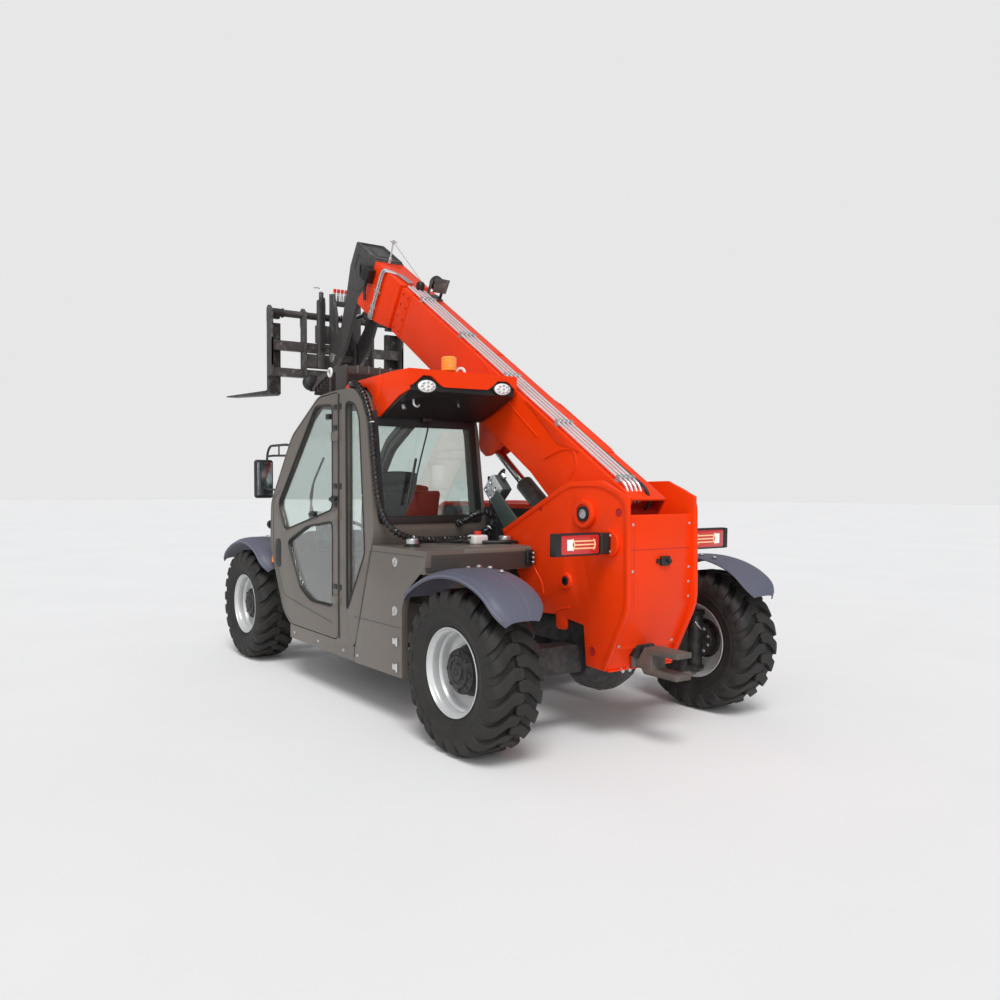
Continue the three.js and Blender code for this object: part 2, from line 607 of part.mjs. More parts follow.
function addCarriage() {
  const face = CARRIAGE_FACE;
  const back = face + CARRIAGE_DEPTH;
  const pieces = [
    bar([-CARRIAGE_HALF, face + 30, CARRIAGE_TOP - 30], [CARRIAGE_HALF, face + 30, CARRIAGE_TOP - 30], 30),
    block(-CARRIAGE_HALF, CARRIAGE_HALF, face, back, CARRIAGE_BOTTOM, CARRIAGE_BOTTOM + 70),
    block(-CARRIAGE_HALF, CARRIAGE_HALF, face + 15, back, 2450, 2530),
  ];
  for (const x of [-CARRIAGE_HALF, -330, 312, CARRIAGE_HALF - 18]) {
    pieces.push(block(x, x + 18, face + 6, back + 40, CARRIAGE_BOTTOM, CARRIAGE_TOP - 10));
  }
  place("fork_carriage", joined(...pieces), darkSteel);

  const hitchFront = back + GAP;
  const side = outline([
    [hitchFront, 2290], [hitchFront, 2960], [hitchFront + 70, 2950], [hitchFront + 130, 2760], [hitchFront + 130, 2700],
    [TILT_BACK + 60, TILT_HEIGHT + 40], [TILT_BACK + 60, TILT_HEIGHT - 45], [TILT_BACK + 20, TILT_HEIGHT - 68],
    [TILT_BACK - 30, 2290],
  ]);
  const pinHole = bar([-HITCH_HALF - 5, TILT_BACK, TILT_HEIGHT], [HITCH_HALF + 5, TILT_BACK, TILT_HEIGHT],
    TILT_PIN_RADIUS + PIN_CLEAR);
  const plates = [-1, 1].map((s) => {
    const [a, b] = [s * (HITCH_HALF - HITCH_PLATE), s * HITCH_HALF].sort((p, q) => p - q);
    return across(side, a, b);
  });
  const web = block(-HITCH_HALF + 1, HITCH_HALF - 1, hitchFront, hitchFront + 16, 2290, 2660);
  const cap = block(-HITCH_HALF + 1, HITCH_HALF - 1, hitchFront, hitchFront + 40, 2860, 2900);
  place("quick_hitch", cut(joined(...plates, web, cap), pinHole), darkSteel);

  for (const [name, sign] of [["left", 1], ["right", -1]]) {
    const front = face - FORK_THICK;
    const profile = outline([
      [face - GAP, CARRIAGE_TOP - 110], [front, CARRIAGE_TOP - 110], [front, FORK_HEEL + 48],
      [front - 30, FORK_HEEL + 42], [FORK_TIP, 2152], [FORK_TIP, 2140], [front, FORK_HEEL], [face - GAP, FORK_HEEL + 12],
    ]);
    const [a, b] = [sign * FORK_CENTRE - FORK_WIDTH / 2, sign * FORK_CENTRE + FORK_WIDTH / 2];
    place(`fork_${name}`, across(profile, a, b), darkSteel);
  }
}

// ---------------------------------------------------------------- cab

const CAB_SIDE = [
  [-1093, OUTRIGGER_TOP + GAP], [-2040, OUTRIGGER_TOP + GAP], [-2188, 453], [-2416, 901], [-2399, 1211],
  [-2022, 1673], [-1586, 1912], [-1360, CAB_TOP], [-1110, CAB_TOP], [-1020, 1850], [-945, 1714], [-848, 1083],
];

/** The cab's side forward of the door post, which the door fills. */
const DOOR_SIDE = [
  [-2040, OUTRIGGER_TOP + GAP], [-2188, 453], [-2416, 901], [-2399, 1211], [-2022, 1673], [-1586, 1912],
  [-1360, CAB_TOP], [DOOR_EDGE + DOOR_RIM, CAB_TOP], [DOOR_EDGE + DOOR_RIM, OUTRIGGER_TOP + GAP],
];
const QUARTER_WINDOW = [[-1203, 1850], [-1193, 565], [-960, 940], [-1030, 1745], [-1090, 1827]];
const RIGHT_WINDOW = [
  [-2290, 1000], [-2300, 1190], [-1980, 1590], [-1600, 1810], [-1150, 1820], [-1040, 1690], [-950, 1000],
];
const DOOR_UPPER_WINDOW = [[-2259, 1206], [-2144, 1020], [-1390, 1185], [-1390, 1840], [-1636, 1850]];
const DOOR_LOWER_WINDOW = [[-2099, 944], [-1778, 1062], [-1390, 1110], [-1390, 569], [-1714, 569], [-1887, 639]];
const WINDOW_X = [CAB_RIGHT + CAB_WALL + 12, CAB_LEFT - CAB_WALL - 12];

/** A pane that fills a window of the same outline. */
const pane = (corners, radius, x0, x1) => across(softOutline(inset(corners, GAP), radius), x0, x1);

function addCab() {
  const shell = cut(
    across(softOutline(CAB_SIDE, 60), CAB_RIGHT, CAB_LEFT),
    across(softOutline(inset(CAB_SIDE, CAB_WALL), 40), CAB_RIGHT + CAB_WALL, CAB_LEFT - CAB_WALL),
  );
  const doorBack = CAB_LEFT - DOOR_THICK - RUNNING;
  const doorway = across(softOutline(inset(DOOR_SIDE, DOOR_RIM), 50), doorBack, CAB_LEFT + 10);
  const entry = across(softOutline(inset(DOOR_SIDE, CAB_WALL), 50), doorBack - CAB_WALL, CAB_LEFT + 10);
  const quarter = across(softOutline(QUARTER_WINDOW, 40), CAB_LEFT - 60, CAB_LEFT + 10);
  const rearGlass = across(outline([[-700, 1150], [-1100, 1150], [-1100, 1700], [-700, 1700]]), ...WINDOW_X);
  const frontGlass = across(outline([
    [-2600, 950], [-2300, 950], [-2300, 1190], [-1960, 1600], [-1640, 1790], [-1640, 2000], [-2600, 2000],
  ]), ...WINDOW_X);
  const rightGlass = across(softOutline(RIGHT_WINDOW, 50), CAB_RIGHT - 10, CAB_RIGHT + CAB_WALL + 10);
  const whole = cut(shell, doorway, entry, quarter, rearGlass, frontGlass, rightGlass);
  const above = block(0, 1200, -3000, 0, CAB_SPLIT + GAP, 2500);
  const below = block(0, 1200, -3000, 0, 0, CAB_SPLIT);
  const railSide = block(0, TUB_RIGHT, -3000, 0, 0, CAB_SPLIT);
  const tubWall = across(softOutline(CAB_SIDE, 60), TUB_RIGHT - 1, TUB_RIGHT + 30).intersect(below);
  const skirt = block(SKIRT_LEFT, CAB_LEFT, -2055, -1100, 275, OUTRIGGER_TOP + GAP + 8);
  const seat = (z) => block(CAB_LEFT - 1, CAB_LEFT + DOOR_HINGE_OUT - HINGE_BARREL - 0.5,
    DOOR_HINGE_BACK - 10, DOOR_HINGE_BACK + 14, z - 30, z + 30);
  const [lowHinge, ...highHinges] = DOOR_HINGES.map(seat);
  place("cab_frame", joined(whole.intersect(above), ...highHinges), cabPaint);
  place("cab_tub", joined(cut(whole.intersect(below), railSide), tubWall.subtract(railSide), skirt, lowHinge), cabPaint);

  const paneX = CAB_LEFT - 26;
  place("quarter_window", pane(QUARTER_WINDOW, 40, paneX, paneX + GLASS), tintedGlass);
  place("right_window", pane(RIGHT_WINDOW, 50, CAB_RIGHT + 18, CAB_RIGHT + 18 + GLASS), tintedGlass);
  const [x0, x1] = [WINDOW_X[0] + GAP, WINDOW_X[1] - GAP];
  const shellSkin = (near, far) => cut(
    across(softOutline(inset(CAB_SIDE, near), 60 - near), x0, x1),
    across(softOutline(inset(CAB_SIDE, far), 60 - far), x0 - 10, x1 + 10),
  );
  const skin = shellSkin(16, 16 + GLASS);
  const rearRoom = across(outline([
    [-700, 1150 + GAP], [-1100, 1150 + GAP], [-1100, 1700 - GAP], [-700, 1700 - GAP],
  ]), x0 - 20, x1 + 20);
  const frontRoom = across(outline([
    [-2600, 950 + GAP], [-2300, 950 + GAP], [-2300, 1190], [-1960, 1600], [-1640 - GAP, 1790], [-1640 - GAP, 2000],
    [-2600, 2000],
  ]), x0 - 20, x1 + 20);
  place("rear_window", skin.intersect(rearRoom), tintedGlass);
  place("windscreen", skin.intersect(frontRoom), tintedGlass);
}

function addDoor() {
  const [inner, outer] = [CAB_LEFT - DOOR_THICK, CAB_LEFT];
  const leaf = across(softOutline(inset(DOOR_SIDE, DOOR_RIM + RUNNING), 50), inner, outer);
  const upper = across(softOutline(DOOR_UPPER_WINDOW, 45), inner - 5, outer + 5);
  const lower = across(softOutline(DOOR_LOWER_WINDOW, 45), inner - 5, outer + 5);
  const hingeX = outer + DOOR_HINGE_OUT;
  const hinges = DOOR_HINGES.map((z) => joined(
    bar([hingeX, DOOR_HINGE_BACK, z - 30], [hingeX, DOOR_HINGE_BACK, z + 30], HINGE_BARREL, 16),
    block(outer - 1, hingeX, DOOR_HINGE_BACK - 85, DOOR_HINGE_BACK - 22, z - 26, z + 26),
    block(hingeX - 6, hingeX + 6, DOOR_HINGE_BACK - 40, DOOR_HINGE_BACK, z - 26, z + 26),
  ));
  place("door_frame", joined(cut(leaf, upper, lower), ...hinges), cabPaint);
  const glassX = outer - 22;
  place("door_glass_upper", pane(DOOR_UPPER_WINDOW, 45, glassX, glassX + GLASS), tintedGlass);
  place("door_glass_lower", pane(DOOR_LOWER_WINDOW, 45, glassX, glassX + GLASS), tintedGlass);
}

function addCabInside() {
  const floor = OUTRIGGER_TOP + GAP + CAB_WALL + GAP;
  const middle = (CAB_LEFT + TUB_RIGHT) / 2;
  const pedestal = block(middle - 150, middle + 150, -1500, -1180, floor, 640);
  const cushion = along(softOutline([
    [middle - 240, 640], [middle + 240, 640], [middle + 240, 740], [middle - 240, 740],
  ], 30), -1640, -1150);
  const back = across(softOutline([[-1220, 700], [-1110, 700], [-1000, 1330], [-1090, 1350]], 30),
    middle - 220, middle + 220);
  place("seat", joined(pedestal, cushion, back), blackPlastic);
  const column = across(outline([
    [-1990, floor], [-1880, floor], [-1900, 700], [-1870, 900], [-1950, 930], [-2060, 880], [-2000, 700],
  ]), middle - 60, middle + 60);
  const dash = across(softOutline([[-2290, 860], [-2000, 860], [-1990, 960], [-2100, 1010], [-2300, 960]], 20),
    middle - 200, middle + 200);
  const rim = new THREE.TorusGeometry(175, 14, 6, 20);
  rim.rotateX(THREE.MathUtils.degToRad(35));
  rim.translate(middle, -1850, 985);
  const spoke = bar([middle, -1915, 915], [middle, -1850, 985], 28);
  const spokes = bar([middle - 175, -1850, 985], [middle + 175, -1850, 985], 12, 8);
  place("steering_console", joined(column, dash, solid(rim), spoke, spokes), blackPlastic);
}

function addRoof() {
  const slab = across(outline([
    [HOOD_FRONT, CAB_TOP + GAP], [HOOD_BACK, CAB_TOP + GAP], [HOOD_BACK, ROOF_TOP], [HOOD_FRONT + 40, ROOF_TOP],
    [HOOD_FRONT, ROOF_TOP - 10],
  ]), HOOD_RIGHT, HOOD_LEFT);
  const lip = across(outline([
    [HOOD_BACK - 30, 1865], [HOOD_BACK, 1865], [HOOD_BACK, ROOF_TOP], [HOOD_BACK - 30, ROOF_TOP],
  ]), HOOD_RIGHT, HOOD_LEFT);
  const cheek = outline([
    [-1300, 1932], [-1080, 1928], [-1003, 1862], [-930, 1728], [HOOD_BACK - 160, 1800], [HOOD_BACK, 1865],
    [HOOD_BACK, 1965], [-1300, 1965],
  ]);
  place("roof_hood", joined(slab, lip, across(cheek, HOOD_LEFT - 30, HOOD_LEFT)), orangePaint);
  const roofAt = (y) => 1912 + ((CAB_TOP - 1912) * (y + 1586)) / (1586 - 1360) + 0.5;
  const rails = [230, 850].map((x) => across(outline([
    [-1540, roofAt(-1540)], [-1400, roofAt(-1400)], [-1385, 2100], [-1640, 2095], [-1800, 2050], [-1905, 1990],
    [-1885, 1972], [-1780, 2020], [-1640, 2060], [-1540, 2065],
  ]), x, x + 24));
  const bars = [];
  for (let i = 1; i < 8; i += 1) bars.push(block(230 + i * 80, 240 + i * 80, -1640, -1386, 2060, 2095));
  place("roof_guard", joined(
    ...rails, ...bars, block(231, 873, -1400, -1385, 2050, 2100), block(231, 873, -1640, -1622, 2045, 2095),
    block(231, 873, -1890, -1872, 1975, 2000),
  ), blackPlastic);
  place("beacon", turned([[0, 0], [38, 0], [38, 12], [46, 14], [46, 88], [38, 100], [0, 100]], 20)
    .rotate([0, -90, 0]).translate([555, -700, ROOF_TOP + GAP]), lampOrange);
}

// ---------------------------------------------------------------- behind the cab and the engine bay

function addRearDeck() {
  const panelSide = outline([
    [-866, 995], [-296, 995], [-295, 909], [-505, 749], [-533, 662], [-531, 278], [-1094, 270], [-1088, 350],
  ]);
  const deck = block(720, CAB_LEFT - 1, -866, DECK_BACK, 872, 995);
  place("side_panel", joined(across(panelSide, CAB_LEFT - PANEL_THICK, CAB_LEFT), deck), cabPaint);
  const tank = across(softOutline([
    [-860, 1000], [DECK_BACK, 1000], [DECK_BACK, 872], [-480, 872], [-600, 640], [-880, 640],
  ], 20), FRAME_HALF + GAP, 720 - GAP);
  place("hydraulic_tank", tank, cabPaint);
}

function addEngineBay() {
  place("engine_block", block(-800, -360, -1950, -1150, OUTRIGGER_TOP + GAP, 1020), castIron);
  place("engine_skirt", joined(
    block(-CAB_LEFT, -SKIRT_RIGHT, BAY_FRONT, BAY_BACK, 285, BAY_SKIRT_TOP),
    block(-SKIRT_RIGHT - 1, -282, BAY_FRONT, BAY_FRONT + 12, 320, BAY_SKIRT_TOP),
  ), chassisBlack);
  const low = BAY_SKIRT_TOP + RUNNING;
  const outer = across(softOutline([
    [BAY_FRONT, low], [BAY_FRONT, BAY_TOP - 160], [BAY_FRONT + 200, BAY_TOP], [BAY_BACK - 60, BAY_TOP],
    [BAY_BACK, BAY_TOP - 60], [BAY_BACK, low],
  ], 60), -CAB_LEFT, HOOD_HINGE - 10);
  const inner = across(softOutline([
    [BAY_FRONT + HOOD_SKIN, low - 40], [BAY_FRONT + HOOD_SKIN, BAY_TOP - 160 - HOOD_SKIN],
    [BAY_FRONT + 200 + HOOD_SKIN, BAY_TOP - HOOD_SKIN], [BAY_BACK - 60 - HOOD_SKIN, BAY_TOP - HOOD_SKIN],
    [BAY_BACK - HOOD_SKIN, BAY_TOP - 60 - HOOD_SKIN], [BAY_BACK - HOOD_SKIN, low - 40],
  ], 40), HOOD_SKIN - CAB_LEFT, HOOD_HINGE + 20);
  const hingeHeight = BAY_TOP - 20;
  const knuckles = [-2000, -900].map((y) => bar(
    [HOOD_HINGE, y, hingeHeight], [HOOD_HINGE, y + 90, hingeHeight], HINGE_BARREL, 16));
  place("engine_hood", joined(cut(outer, inner), ...knuckles), orangePaint);
}

function addMudguards() {
  const rise = GUARD_DROP;
  const radius = (GUARD_HALF_LENGTH ** 2 + rise ** 2) / (2 * rise);
  const sweep = Math.asin(GUARD_HALF_LENGTH / radius);
  for (const [end, back, innerX] of [["front", -WHEELBASE, FRAME_HALF - TOWER_PLATE], ["rear", 0, FRAME_HALF + GAP]]) {
    for (const [side, sign] of [["left", 1], ["right", -1]]) {
      const shape = new THREE.Shape();
      const centre = GUARD_RISE - radius;
      shape.absarc(back, centre, radius, Math.PI / 2 + sweep, Math.PI / 2 - sweep, true);
      shape.absarc(back, centre, radius - GUARD_SKIN, Math.PI / 2 - sweep, Math.PI / 2 + sweep, false);
      shape.closePath();
      const skin = solid(new THREE.ExtrudeGeometry(shape, {
        depth: GUARD_OUTER - GUARD_INNER, bevelEnabled: false, curveSegments: 10,
      }).translate(0, 0, sign > 0 ? GUARD_INNER : -GUARD_OUTER).applyMatrix4(SIDEWAYS));
      const armHigh = GUARD_RISE - GUARD_SKIN + 4;
      const foot = end === "front" ? RAIL_TOP - 90 : armHigh - 34;
      const arm = along(outline([
        [sign * innerX, foot], [sign * (innerX + 16), foot], [sign * (innerX + 16), armHigh - 20],
        [sign * (GUARD_INNER + 30), armHigh - 20], [sign * (GUARD_INNER + 30), armHigh], [sign * innerX, armHigh],
      ]), back - 30, back + 30);
      place(`mudguard_${end}_${side}`, joined(skin, arm), mudguardPlastic);
    }
  }
}

function addHarness() {
  place("spiral_hose", tubeAlong(HOSE_ROUTE, HOSE_RADIUS, HOSE_STEPS), rubber);
  const body = across(outline([[-790, 1318], [-700, 1228], [-610, 1318], [-700, 1408]]), 152, 238);
  const edge = (y) => 1073.4 + ((y + 576) * (1365 - 1073)) / (576 + 3);
  const bracket = across(outline([[-700, 1250], [-640, 1310], [-440, edge(-440)], [-560, edge(-560)]]),
    FRAME_HALF - TOWER_PLATE, FRAME_HALF);
  place("valve_block", joined(body, bracket), valvePaint);
}

function addFittings() {
  const glassCase = along(softOutline([[905, 1270], [1000, 1270], [1000, 1500], [905, 1500]], 20), -2590, -2530);
  const mirror = joined(
    glassCase,
    bar([935, -2536, 1285], [935, -2536, 1570], 9, 10),
    bar([935, -2536, 1320], [935, -2300, 1320], 9, 10),
    bar([935, -2536, 1560], [935, -2080, 1560], 9, 10),
  );
  const cabSide = across(softOutline(inset(CAB_SIDE, -0.4), 60), 0, 1200);
  place("mirror_left", mirror.subtract(cabSide), blackPlastic);
  for (const [name, sign] of [["left", 1], ["right", -1]]) {
    const [a, b] = [sign * (FRAME_HALF + GAP), sign * LAMP_OUTER].sort((p, q) => p - q);
    place(`tail_lamp_${name}`, block(a, b, LAMP_FACE - LAMP_DEPTH, LAMP_FACE, LAMP_LOW, LAMP_TOP), lampRed);
  }
}

addRunningGear();
addChassis();
addBoomTower();
addBoom();
addBoomNose();
addCylinders();
addCarriage();
addCab();
addDoor();
addCabInside();
addRoof();
addRearDeck();
addEngineBay();
addMudguards();
addHarness();
addFittings();

// the origin is on the ground, under the middle of the machine's box
const group = new THREE.Group();
group.add(machine);
const box = new THREE.Box3().setFromObject(group, true);
machine.position.y = -(box.min.y + box.max.y) / 2;

export default group;
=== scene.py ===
"""A compact telehandler, dressed for the studio: its looks, piece by piece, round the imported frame.

Metres. Pieces of the machine are measured from the rear axle (left, back, up), as its maker
would; pieces of the boom are measured from its pivot (left, above the boom's line, along it).
"""

import json
from math import atan2, cos, pi, radians, sin, tan

import bpy
from mathutils import Matrix, Vector

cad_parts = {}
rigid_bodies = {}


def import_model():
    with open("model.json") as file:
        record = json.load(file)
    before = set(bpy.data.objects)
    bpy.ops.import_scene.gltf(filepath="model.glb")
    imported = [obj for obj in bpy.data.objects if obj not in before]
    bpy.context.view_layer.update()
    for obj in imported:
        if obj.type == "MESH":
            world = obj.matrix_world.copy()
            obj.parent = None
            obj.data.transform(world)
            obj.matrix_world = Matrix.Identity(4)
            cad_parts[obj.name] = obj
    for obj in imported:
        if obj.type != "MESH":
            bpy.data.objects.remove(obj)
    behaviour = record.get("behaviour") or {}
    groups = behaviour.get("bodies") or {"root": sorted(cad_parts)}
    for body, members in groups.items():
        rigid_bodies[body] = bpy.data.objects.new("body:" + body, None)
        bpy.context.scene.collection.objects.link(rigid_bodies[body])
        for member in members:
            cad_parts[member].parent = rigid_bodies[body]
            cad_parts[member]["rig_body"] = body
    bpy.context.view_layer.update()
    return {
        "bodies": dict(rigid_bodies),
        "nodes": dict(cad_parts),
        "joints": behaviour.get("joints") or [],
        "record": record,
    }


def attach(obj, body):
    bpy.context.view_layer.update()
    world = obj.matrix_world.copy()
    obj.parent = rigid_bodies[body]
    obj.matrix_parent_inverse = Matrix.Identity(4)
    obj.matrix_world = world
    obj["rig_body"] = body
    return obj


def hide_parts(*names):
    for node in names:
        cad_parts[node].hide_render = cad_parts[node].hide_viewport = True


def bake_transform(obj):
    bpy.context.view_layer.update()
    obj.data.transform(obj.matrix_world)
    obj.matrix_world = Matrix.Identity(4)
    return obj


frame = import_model()
NODES = frame["nodes"]
JOINTS = {joint["name"]: joint for joint in frame["joints"]}

# ---------------- places worked out from the frame

WHEEL = Vector(JOINTS["roll_rear_left"]["pos_m"])
FRONT_WHEEL = Vector(JOINTS["roll_front_left"]["pos_m"])
REAR_AXLE = WHEEL.y
WHEELBASE = WHEEL.y - FRONT_WHEEL.y
AXLE_HEIGHT = WHEEL.z
TRACK_HALF = WHEEL.x

MACHINE = Matrix.Translation((0, REAR_AXLE, 0))
IN_PLACE = Matrix.Identity(4)

BOOM_RISE = radians(33)
PIVOT = Vector(JOINTS["boom_lift"]["pos_m"])
BOOM = Matrix((
    (1, 0, 0, PIVOT.x),
    (0, sin(BOOM_RISE), -cos(BOOM_RISE), PIVOT.y),
    (0, cos(BOOM_RISE), sin(BOOM_RISE), PIVOT.z),
    (0, 0, 0, 1),
))

# an outline drawn flat, stood up: as (back, up), as (left, up), or lying as (left, back)
SIDE_ON = Matrix(((0, 0, 1, 0), (1, 0, 0, 0), (0, 1, 0, 0), (0, 0, 0, 1)))
END_ON = Matrix(((1, 0, 0, 0), (0, 0, -1, 0), (0, 1, 0, 0), (0, 0, 0, 1)))
# on the boom: a side outline as (along, above)
BOOM_SIDE = Matrix(((0, 0, -1, 0), (0, 1, 0, 0), (1, 0, 0, 0), (0, 0, 0, 1)))

LEFT, BACK, UP = Vector((1, 0, 0)), Vector((0, 1, 0)), Vector((0, 0, 1))
SIDES = (("left", 1), ("right", -1))
WELD = 0.00005  # points closer than this become one


# ---------------- the workshop's tools

def let_go():
    """Nothing is selected, so that an operator acts on one piece only."""
    bpy.ops.object.select_all(action="DESELECT")


def take(obj):
    """One piece alone is selected and active."""
    let_go()
    obj.hide_set(False)
    obj.select_set(True)
    bpy.context.view_layer.objects.active = obj
    return obj


def settle(obj, place=IN_PLACE):
    """The piece is moved by place, and that is put into its mesh."""
    take(obj)
    obj.matrix_world = place @ obj.matrix_world
    bpy.ops.object.transform_apply(location=True, rotation=True, scale=True)
    return obj


def edit(obj, mode="FACE"):
    take(obj)
    bpy.ops.object.mode_set(mode="EDIT")
    bpy.ops.mesh.select_mode(type=mode)


def select_all():
    bpy.ops.mesh.select_all(action="SELECT")


def leave_edit():
    bpy.ops.object.mode_set(mode="OBJECT")
    return bpy.context.active_object


def with_modifier(obj, kind, **values):
    """A modifier is added, set and applied."""
    take(obj)
    modifier = obj.modifiers.new(kind.title(), kind)
    for key, value in values.items():
        setattr(modifier, key, value)
    bpy.ops.object.modifier_apply(modifier=modifier.name)
    return obj


def soften(obj, width, segments=2, angle=38):
    """Every sharp edge gets a small rounding, so that it catches the light."""
    return with_modifier(
        obj, "BEVEL", width=width, segments=segments, limit_method="ANGLE",
        angle_limit=radians(angle), harden_normals=False, use_clamp_overlap=True,
    )


def turn_outwards(obj):
    edit(obj, "VERT")
    select_all()
    bpy.ops.mesh.remove_doubles(threshold=WELD)
    bpy.ops.mesh.normals_make_consistent(inside=False)
    return leave_edit()


def joined(parts):
    """Several finished shapes become one piece."""
    parts = list(parts)
    if len(parts) == 1:
        return parts[0]
    let_go()
    for part in parts:
        part.select_set(True)
    bpy.context.view_layer.objects.active = parts[0]
    bpy.ops.object.join()
    return parts[0]


def twin_of(model):
    """A copy of the model with a mesh of its own."""
    twin = model.copy()
    twin.data = model.data.copy()
    bpy.context.scene.collection.objects.link(twin)
    return twin


def copied(model, places, keep=False):
    """The model at each place, each with its own mesh, as one piece."""
    twins = []
    for place in places:
        twin = twin_of(model)
        twin.matrix_world = place @ model.matrix_world
        twins.append(twin)
    if not keep:
        bpy.data.objects.remove(model)
    bpy.context.view_layer.update()
    return settle(joined(twins))


def pointing(centre, axis):
    """A place whose own up points along axis."""
    return Matrix.Translation(centre) @ Vector(axis).to_track_quat("Z", "Y").to_matrix().to_4x4()


def block(low, high, edge=0.003, segments=2):
    """A rounded block between two corners."""
    low, high = Vector(low), Vector(high)
    let_go()
    bpy.ops.mesh.primitive_cube_add(size=1, location=(low + high) / 2, scale=high - low)
    obj = settle(bpy.context.active_object)
    return soften(obj, edge, segments) if edge else obj


def turned(profile, sides=48, centre=(0, 0, 0), axis=UP):
    """A turned shape from (radius, along) points, drawn upwards from its foot; closed if they meet."""
    let_go()
    first_radius, first_height = profile[0]
    bpy.ops.mesh.primitive_circle_add(vertices=sides, radius=first_radius, location=(0, 0, first_height))
    obj = settle(bpy.context.active_object)
    edit(obj, "VERT")
    select_all()
    for (radius, height), (next_radius, next_height) in zip(profile, profile[1:]):
        bpy.ops.mesh.extrude_region_move(TRANSFORM_OT_translate={"value": (0, 0, next_height - height)})
        swell = next_radius / radius
        bpy.ops.transform.resize(value=(swell, swell, 1), center_override=(0, 0, next_height))
    select_all()
    bpy.ops.mesh.remove_doubles(threshold=WELD)
    if profile[0] != profile[-1]:
        bpy.ops.mesh.select_non_manifold(extend=False)
        bpy.ops.mesh.fill_holes(sides=0)
    select_all()
    bpy.ops.mesh.normals_make_consistent(inside=False)
    leave_edit()
    return settle(obj, pointing(centre, axis))


def rod(start, end, radius, sides=20):
    """A round bar between two points, its ends eased."""
    start, end = Vector(start), Vector(end)
    length = (end - start).length
    ease = min(radius * 0.12, length / 4)
    profile = [(radius - ease, 0), (radius, ease), (radius, length - ease), (radius - ease, length)]
    return turned(profile, sides, start, end - start)


def eased(points, radius, steps=5, closed=False):
    """The points with each corner rounded by an arc-like curve of about that reach."""
    points = [Vector(p) for p in points]
    count = len(points)
    result = []
    for i, corner in enumerate(points):
        if not closed and i in (0, count - 1):
            result.append(corner)
            continue
        before = points[i - 1] - corner
        after = points[(i + 1) % count] - corner
        reach = min(radius, before.length / 2.1, after.length / 2.1)
        a, b = corner + before.normalized() * reach, corner + after.normalized() * reach
        for k in range(steps + 1):
            t = k / steps
            result.append(a * (1 - t) ** 2 + corner * 2 * t * (1 - t) + b * t * t)
    return result


def curve_piece(loops, flat, closed):
    """A curve object through each list of points."""
    data = bpy.data.curves.new("line", "CURVE")
    data.dimensions = "2D" if flat else "3D"
    for points in loops:
        spline = data.splines.new("POLY")
        spline.points.add(len(points) - 1)
        for spot, point in zip(spline.points, points):
            spot.co = (point[0], point[1], 0 if flat else point[2], 1)
        spline.use_cyclic_u = closed
    obj = bpy.data.objects.new("line", data)
    bpy.context.scene.collection.objects.link(obj)
    return obj


def to_mesh(obj):
    take(obj)
    bpy.ops.object.convert(target="MESH")
    return turn_outwards(bpy.context.active_object)


def tube(points, radius, bend=0.05, steps=5, sides=2, closed=False):
    """A round tube or hose through the points, its corners bent."""
    line = curve_piece([eased(points, bend, steps, closed)], flat=False, closed=closed)
    line.data.bevel_depth = radius
    line.data.bevel_resolution = sides
    line.data.use_fill_caps = not closed
    return to_mesh(line)


def plate(outline, low, high, stand=IN_PLACE, holes=(), corner=0.0, edge=0.0015):
    """A flat outline, with its holes, given thickness from low to high and stood up."""
    def rounded(loop):
        flat = [Vector((u, v, 0)) for u, v in loop]
        return eased(flat, corner, 5, closed=True) if corner else flat
    line = curve_piece([rounded(outline), *[[Vector((u, v, 0)) for u, v in hole] for hole in holes]], True,
                       True)
    line.data.fill_mode = "BOTH"
    line.data.extrude = (high - low) / 2 - edge
    line.data.bevel_depth = edge
    line.data.bevel_resolution = 1
    line.data.offset = -edge
    obj = to_mesh(line)
    return settle(obj, stand @ Matrix.Translation((0, 0, (low + high) / 2)))


def oblong(left, low, right, high):
    """The outline of a rectangle between two corners."""
    return [(left, low), (right, low), (right, high), (left, high)]


def bolt(size=0.009):
    """A hexagon bolt head on its washer, at the origin, pointing up."""
    head = turned([(size, 0.0016), (size, size * 0.62), (size * 0.86, size * 0.75)], 6)
    washer = turned([(size * 1.35, -0.001), (size * 1.35, 0.0012), (size * 1.25, 0.0018)], 20)
    return joined([head, washer])


def bolts(spots, axis, size=0.009):
    return copied(bolt(size), [pointing(spot, axis) for spot in spots])


def hold(obj, name, finish, body, place=MACHINE, smooth=32, stands_for=()):
    """The finished piece: joined if in parts, put in its place, smoothed, painted, hung on its body."""
    obj = joined(obj) if isinstance(obj, list) else obj
    settle(obj, place)
    obj.name = name
    obj.data.name = name
    material, slot = FINISHES[finish]
    obj.data.materials.clear()
    obj.data.materials.append(material)
    for face in obj.data.polygons:
        face.material_index = 0
    take(obj)
    bpy.ops.object.shade_smooth_by_angle(angle=radians(smooth))
    if body:
        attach(obj, body)
    if stands_for:
        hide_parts(*stands_for)
    return obj


def boom_plate(outline, low, high, **more):
    """A side plate of the boom, as (along, above), from low to high across it."""
    return plate(outline, -high, -low, BOOM_SIDE, **more)


# ---------------- finishes

def node(tree, kind, **inputs):
    """A shader node with its sockets set by name."""
    made = tree.nodes.new(kind)
    for key, value in inputs.items():
        made.inputs[key.replace("_", " ")].default_value = value
    return made


def blank(name):
    material = bpy.data.materials.new(name)
    material.use_nodes = True
    tree = material.node_tree
    return material, tree, tree.nodes["Principled BSDF"], node(tree, "ShaderNodeTexCoord")


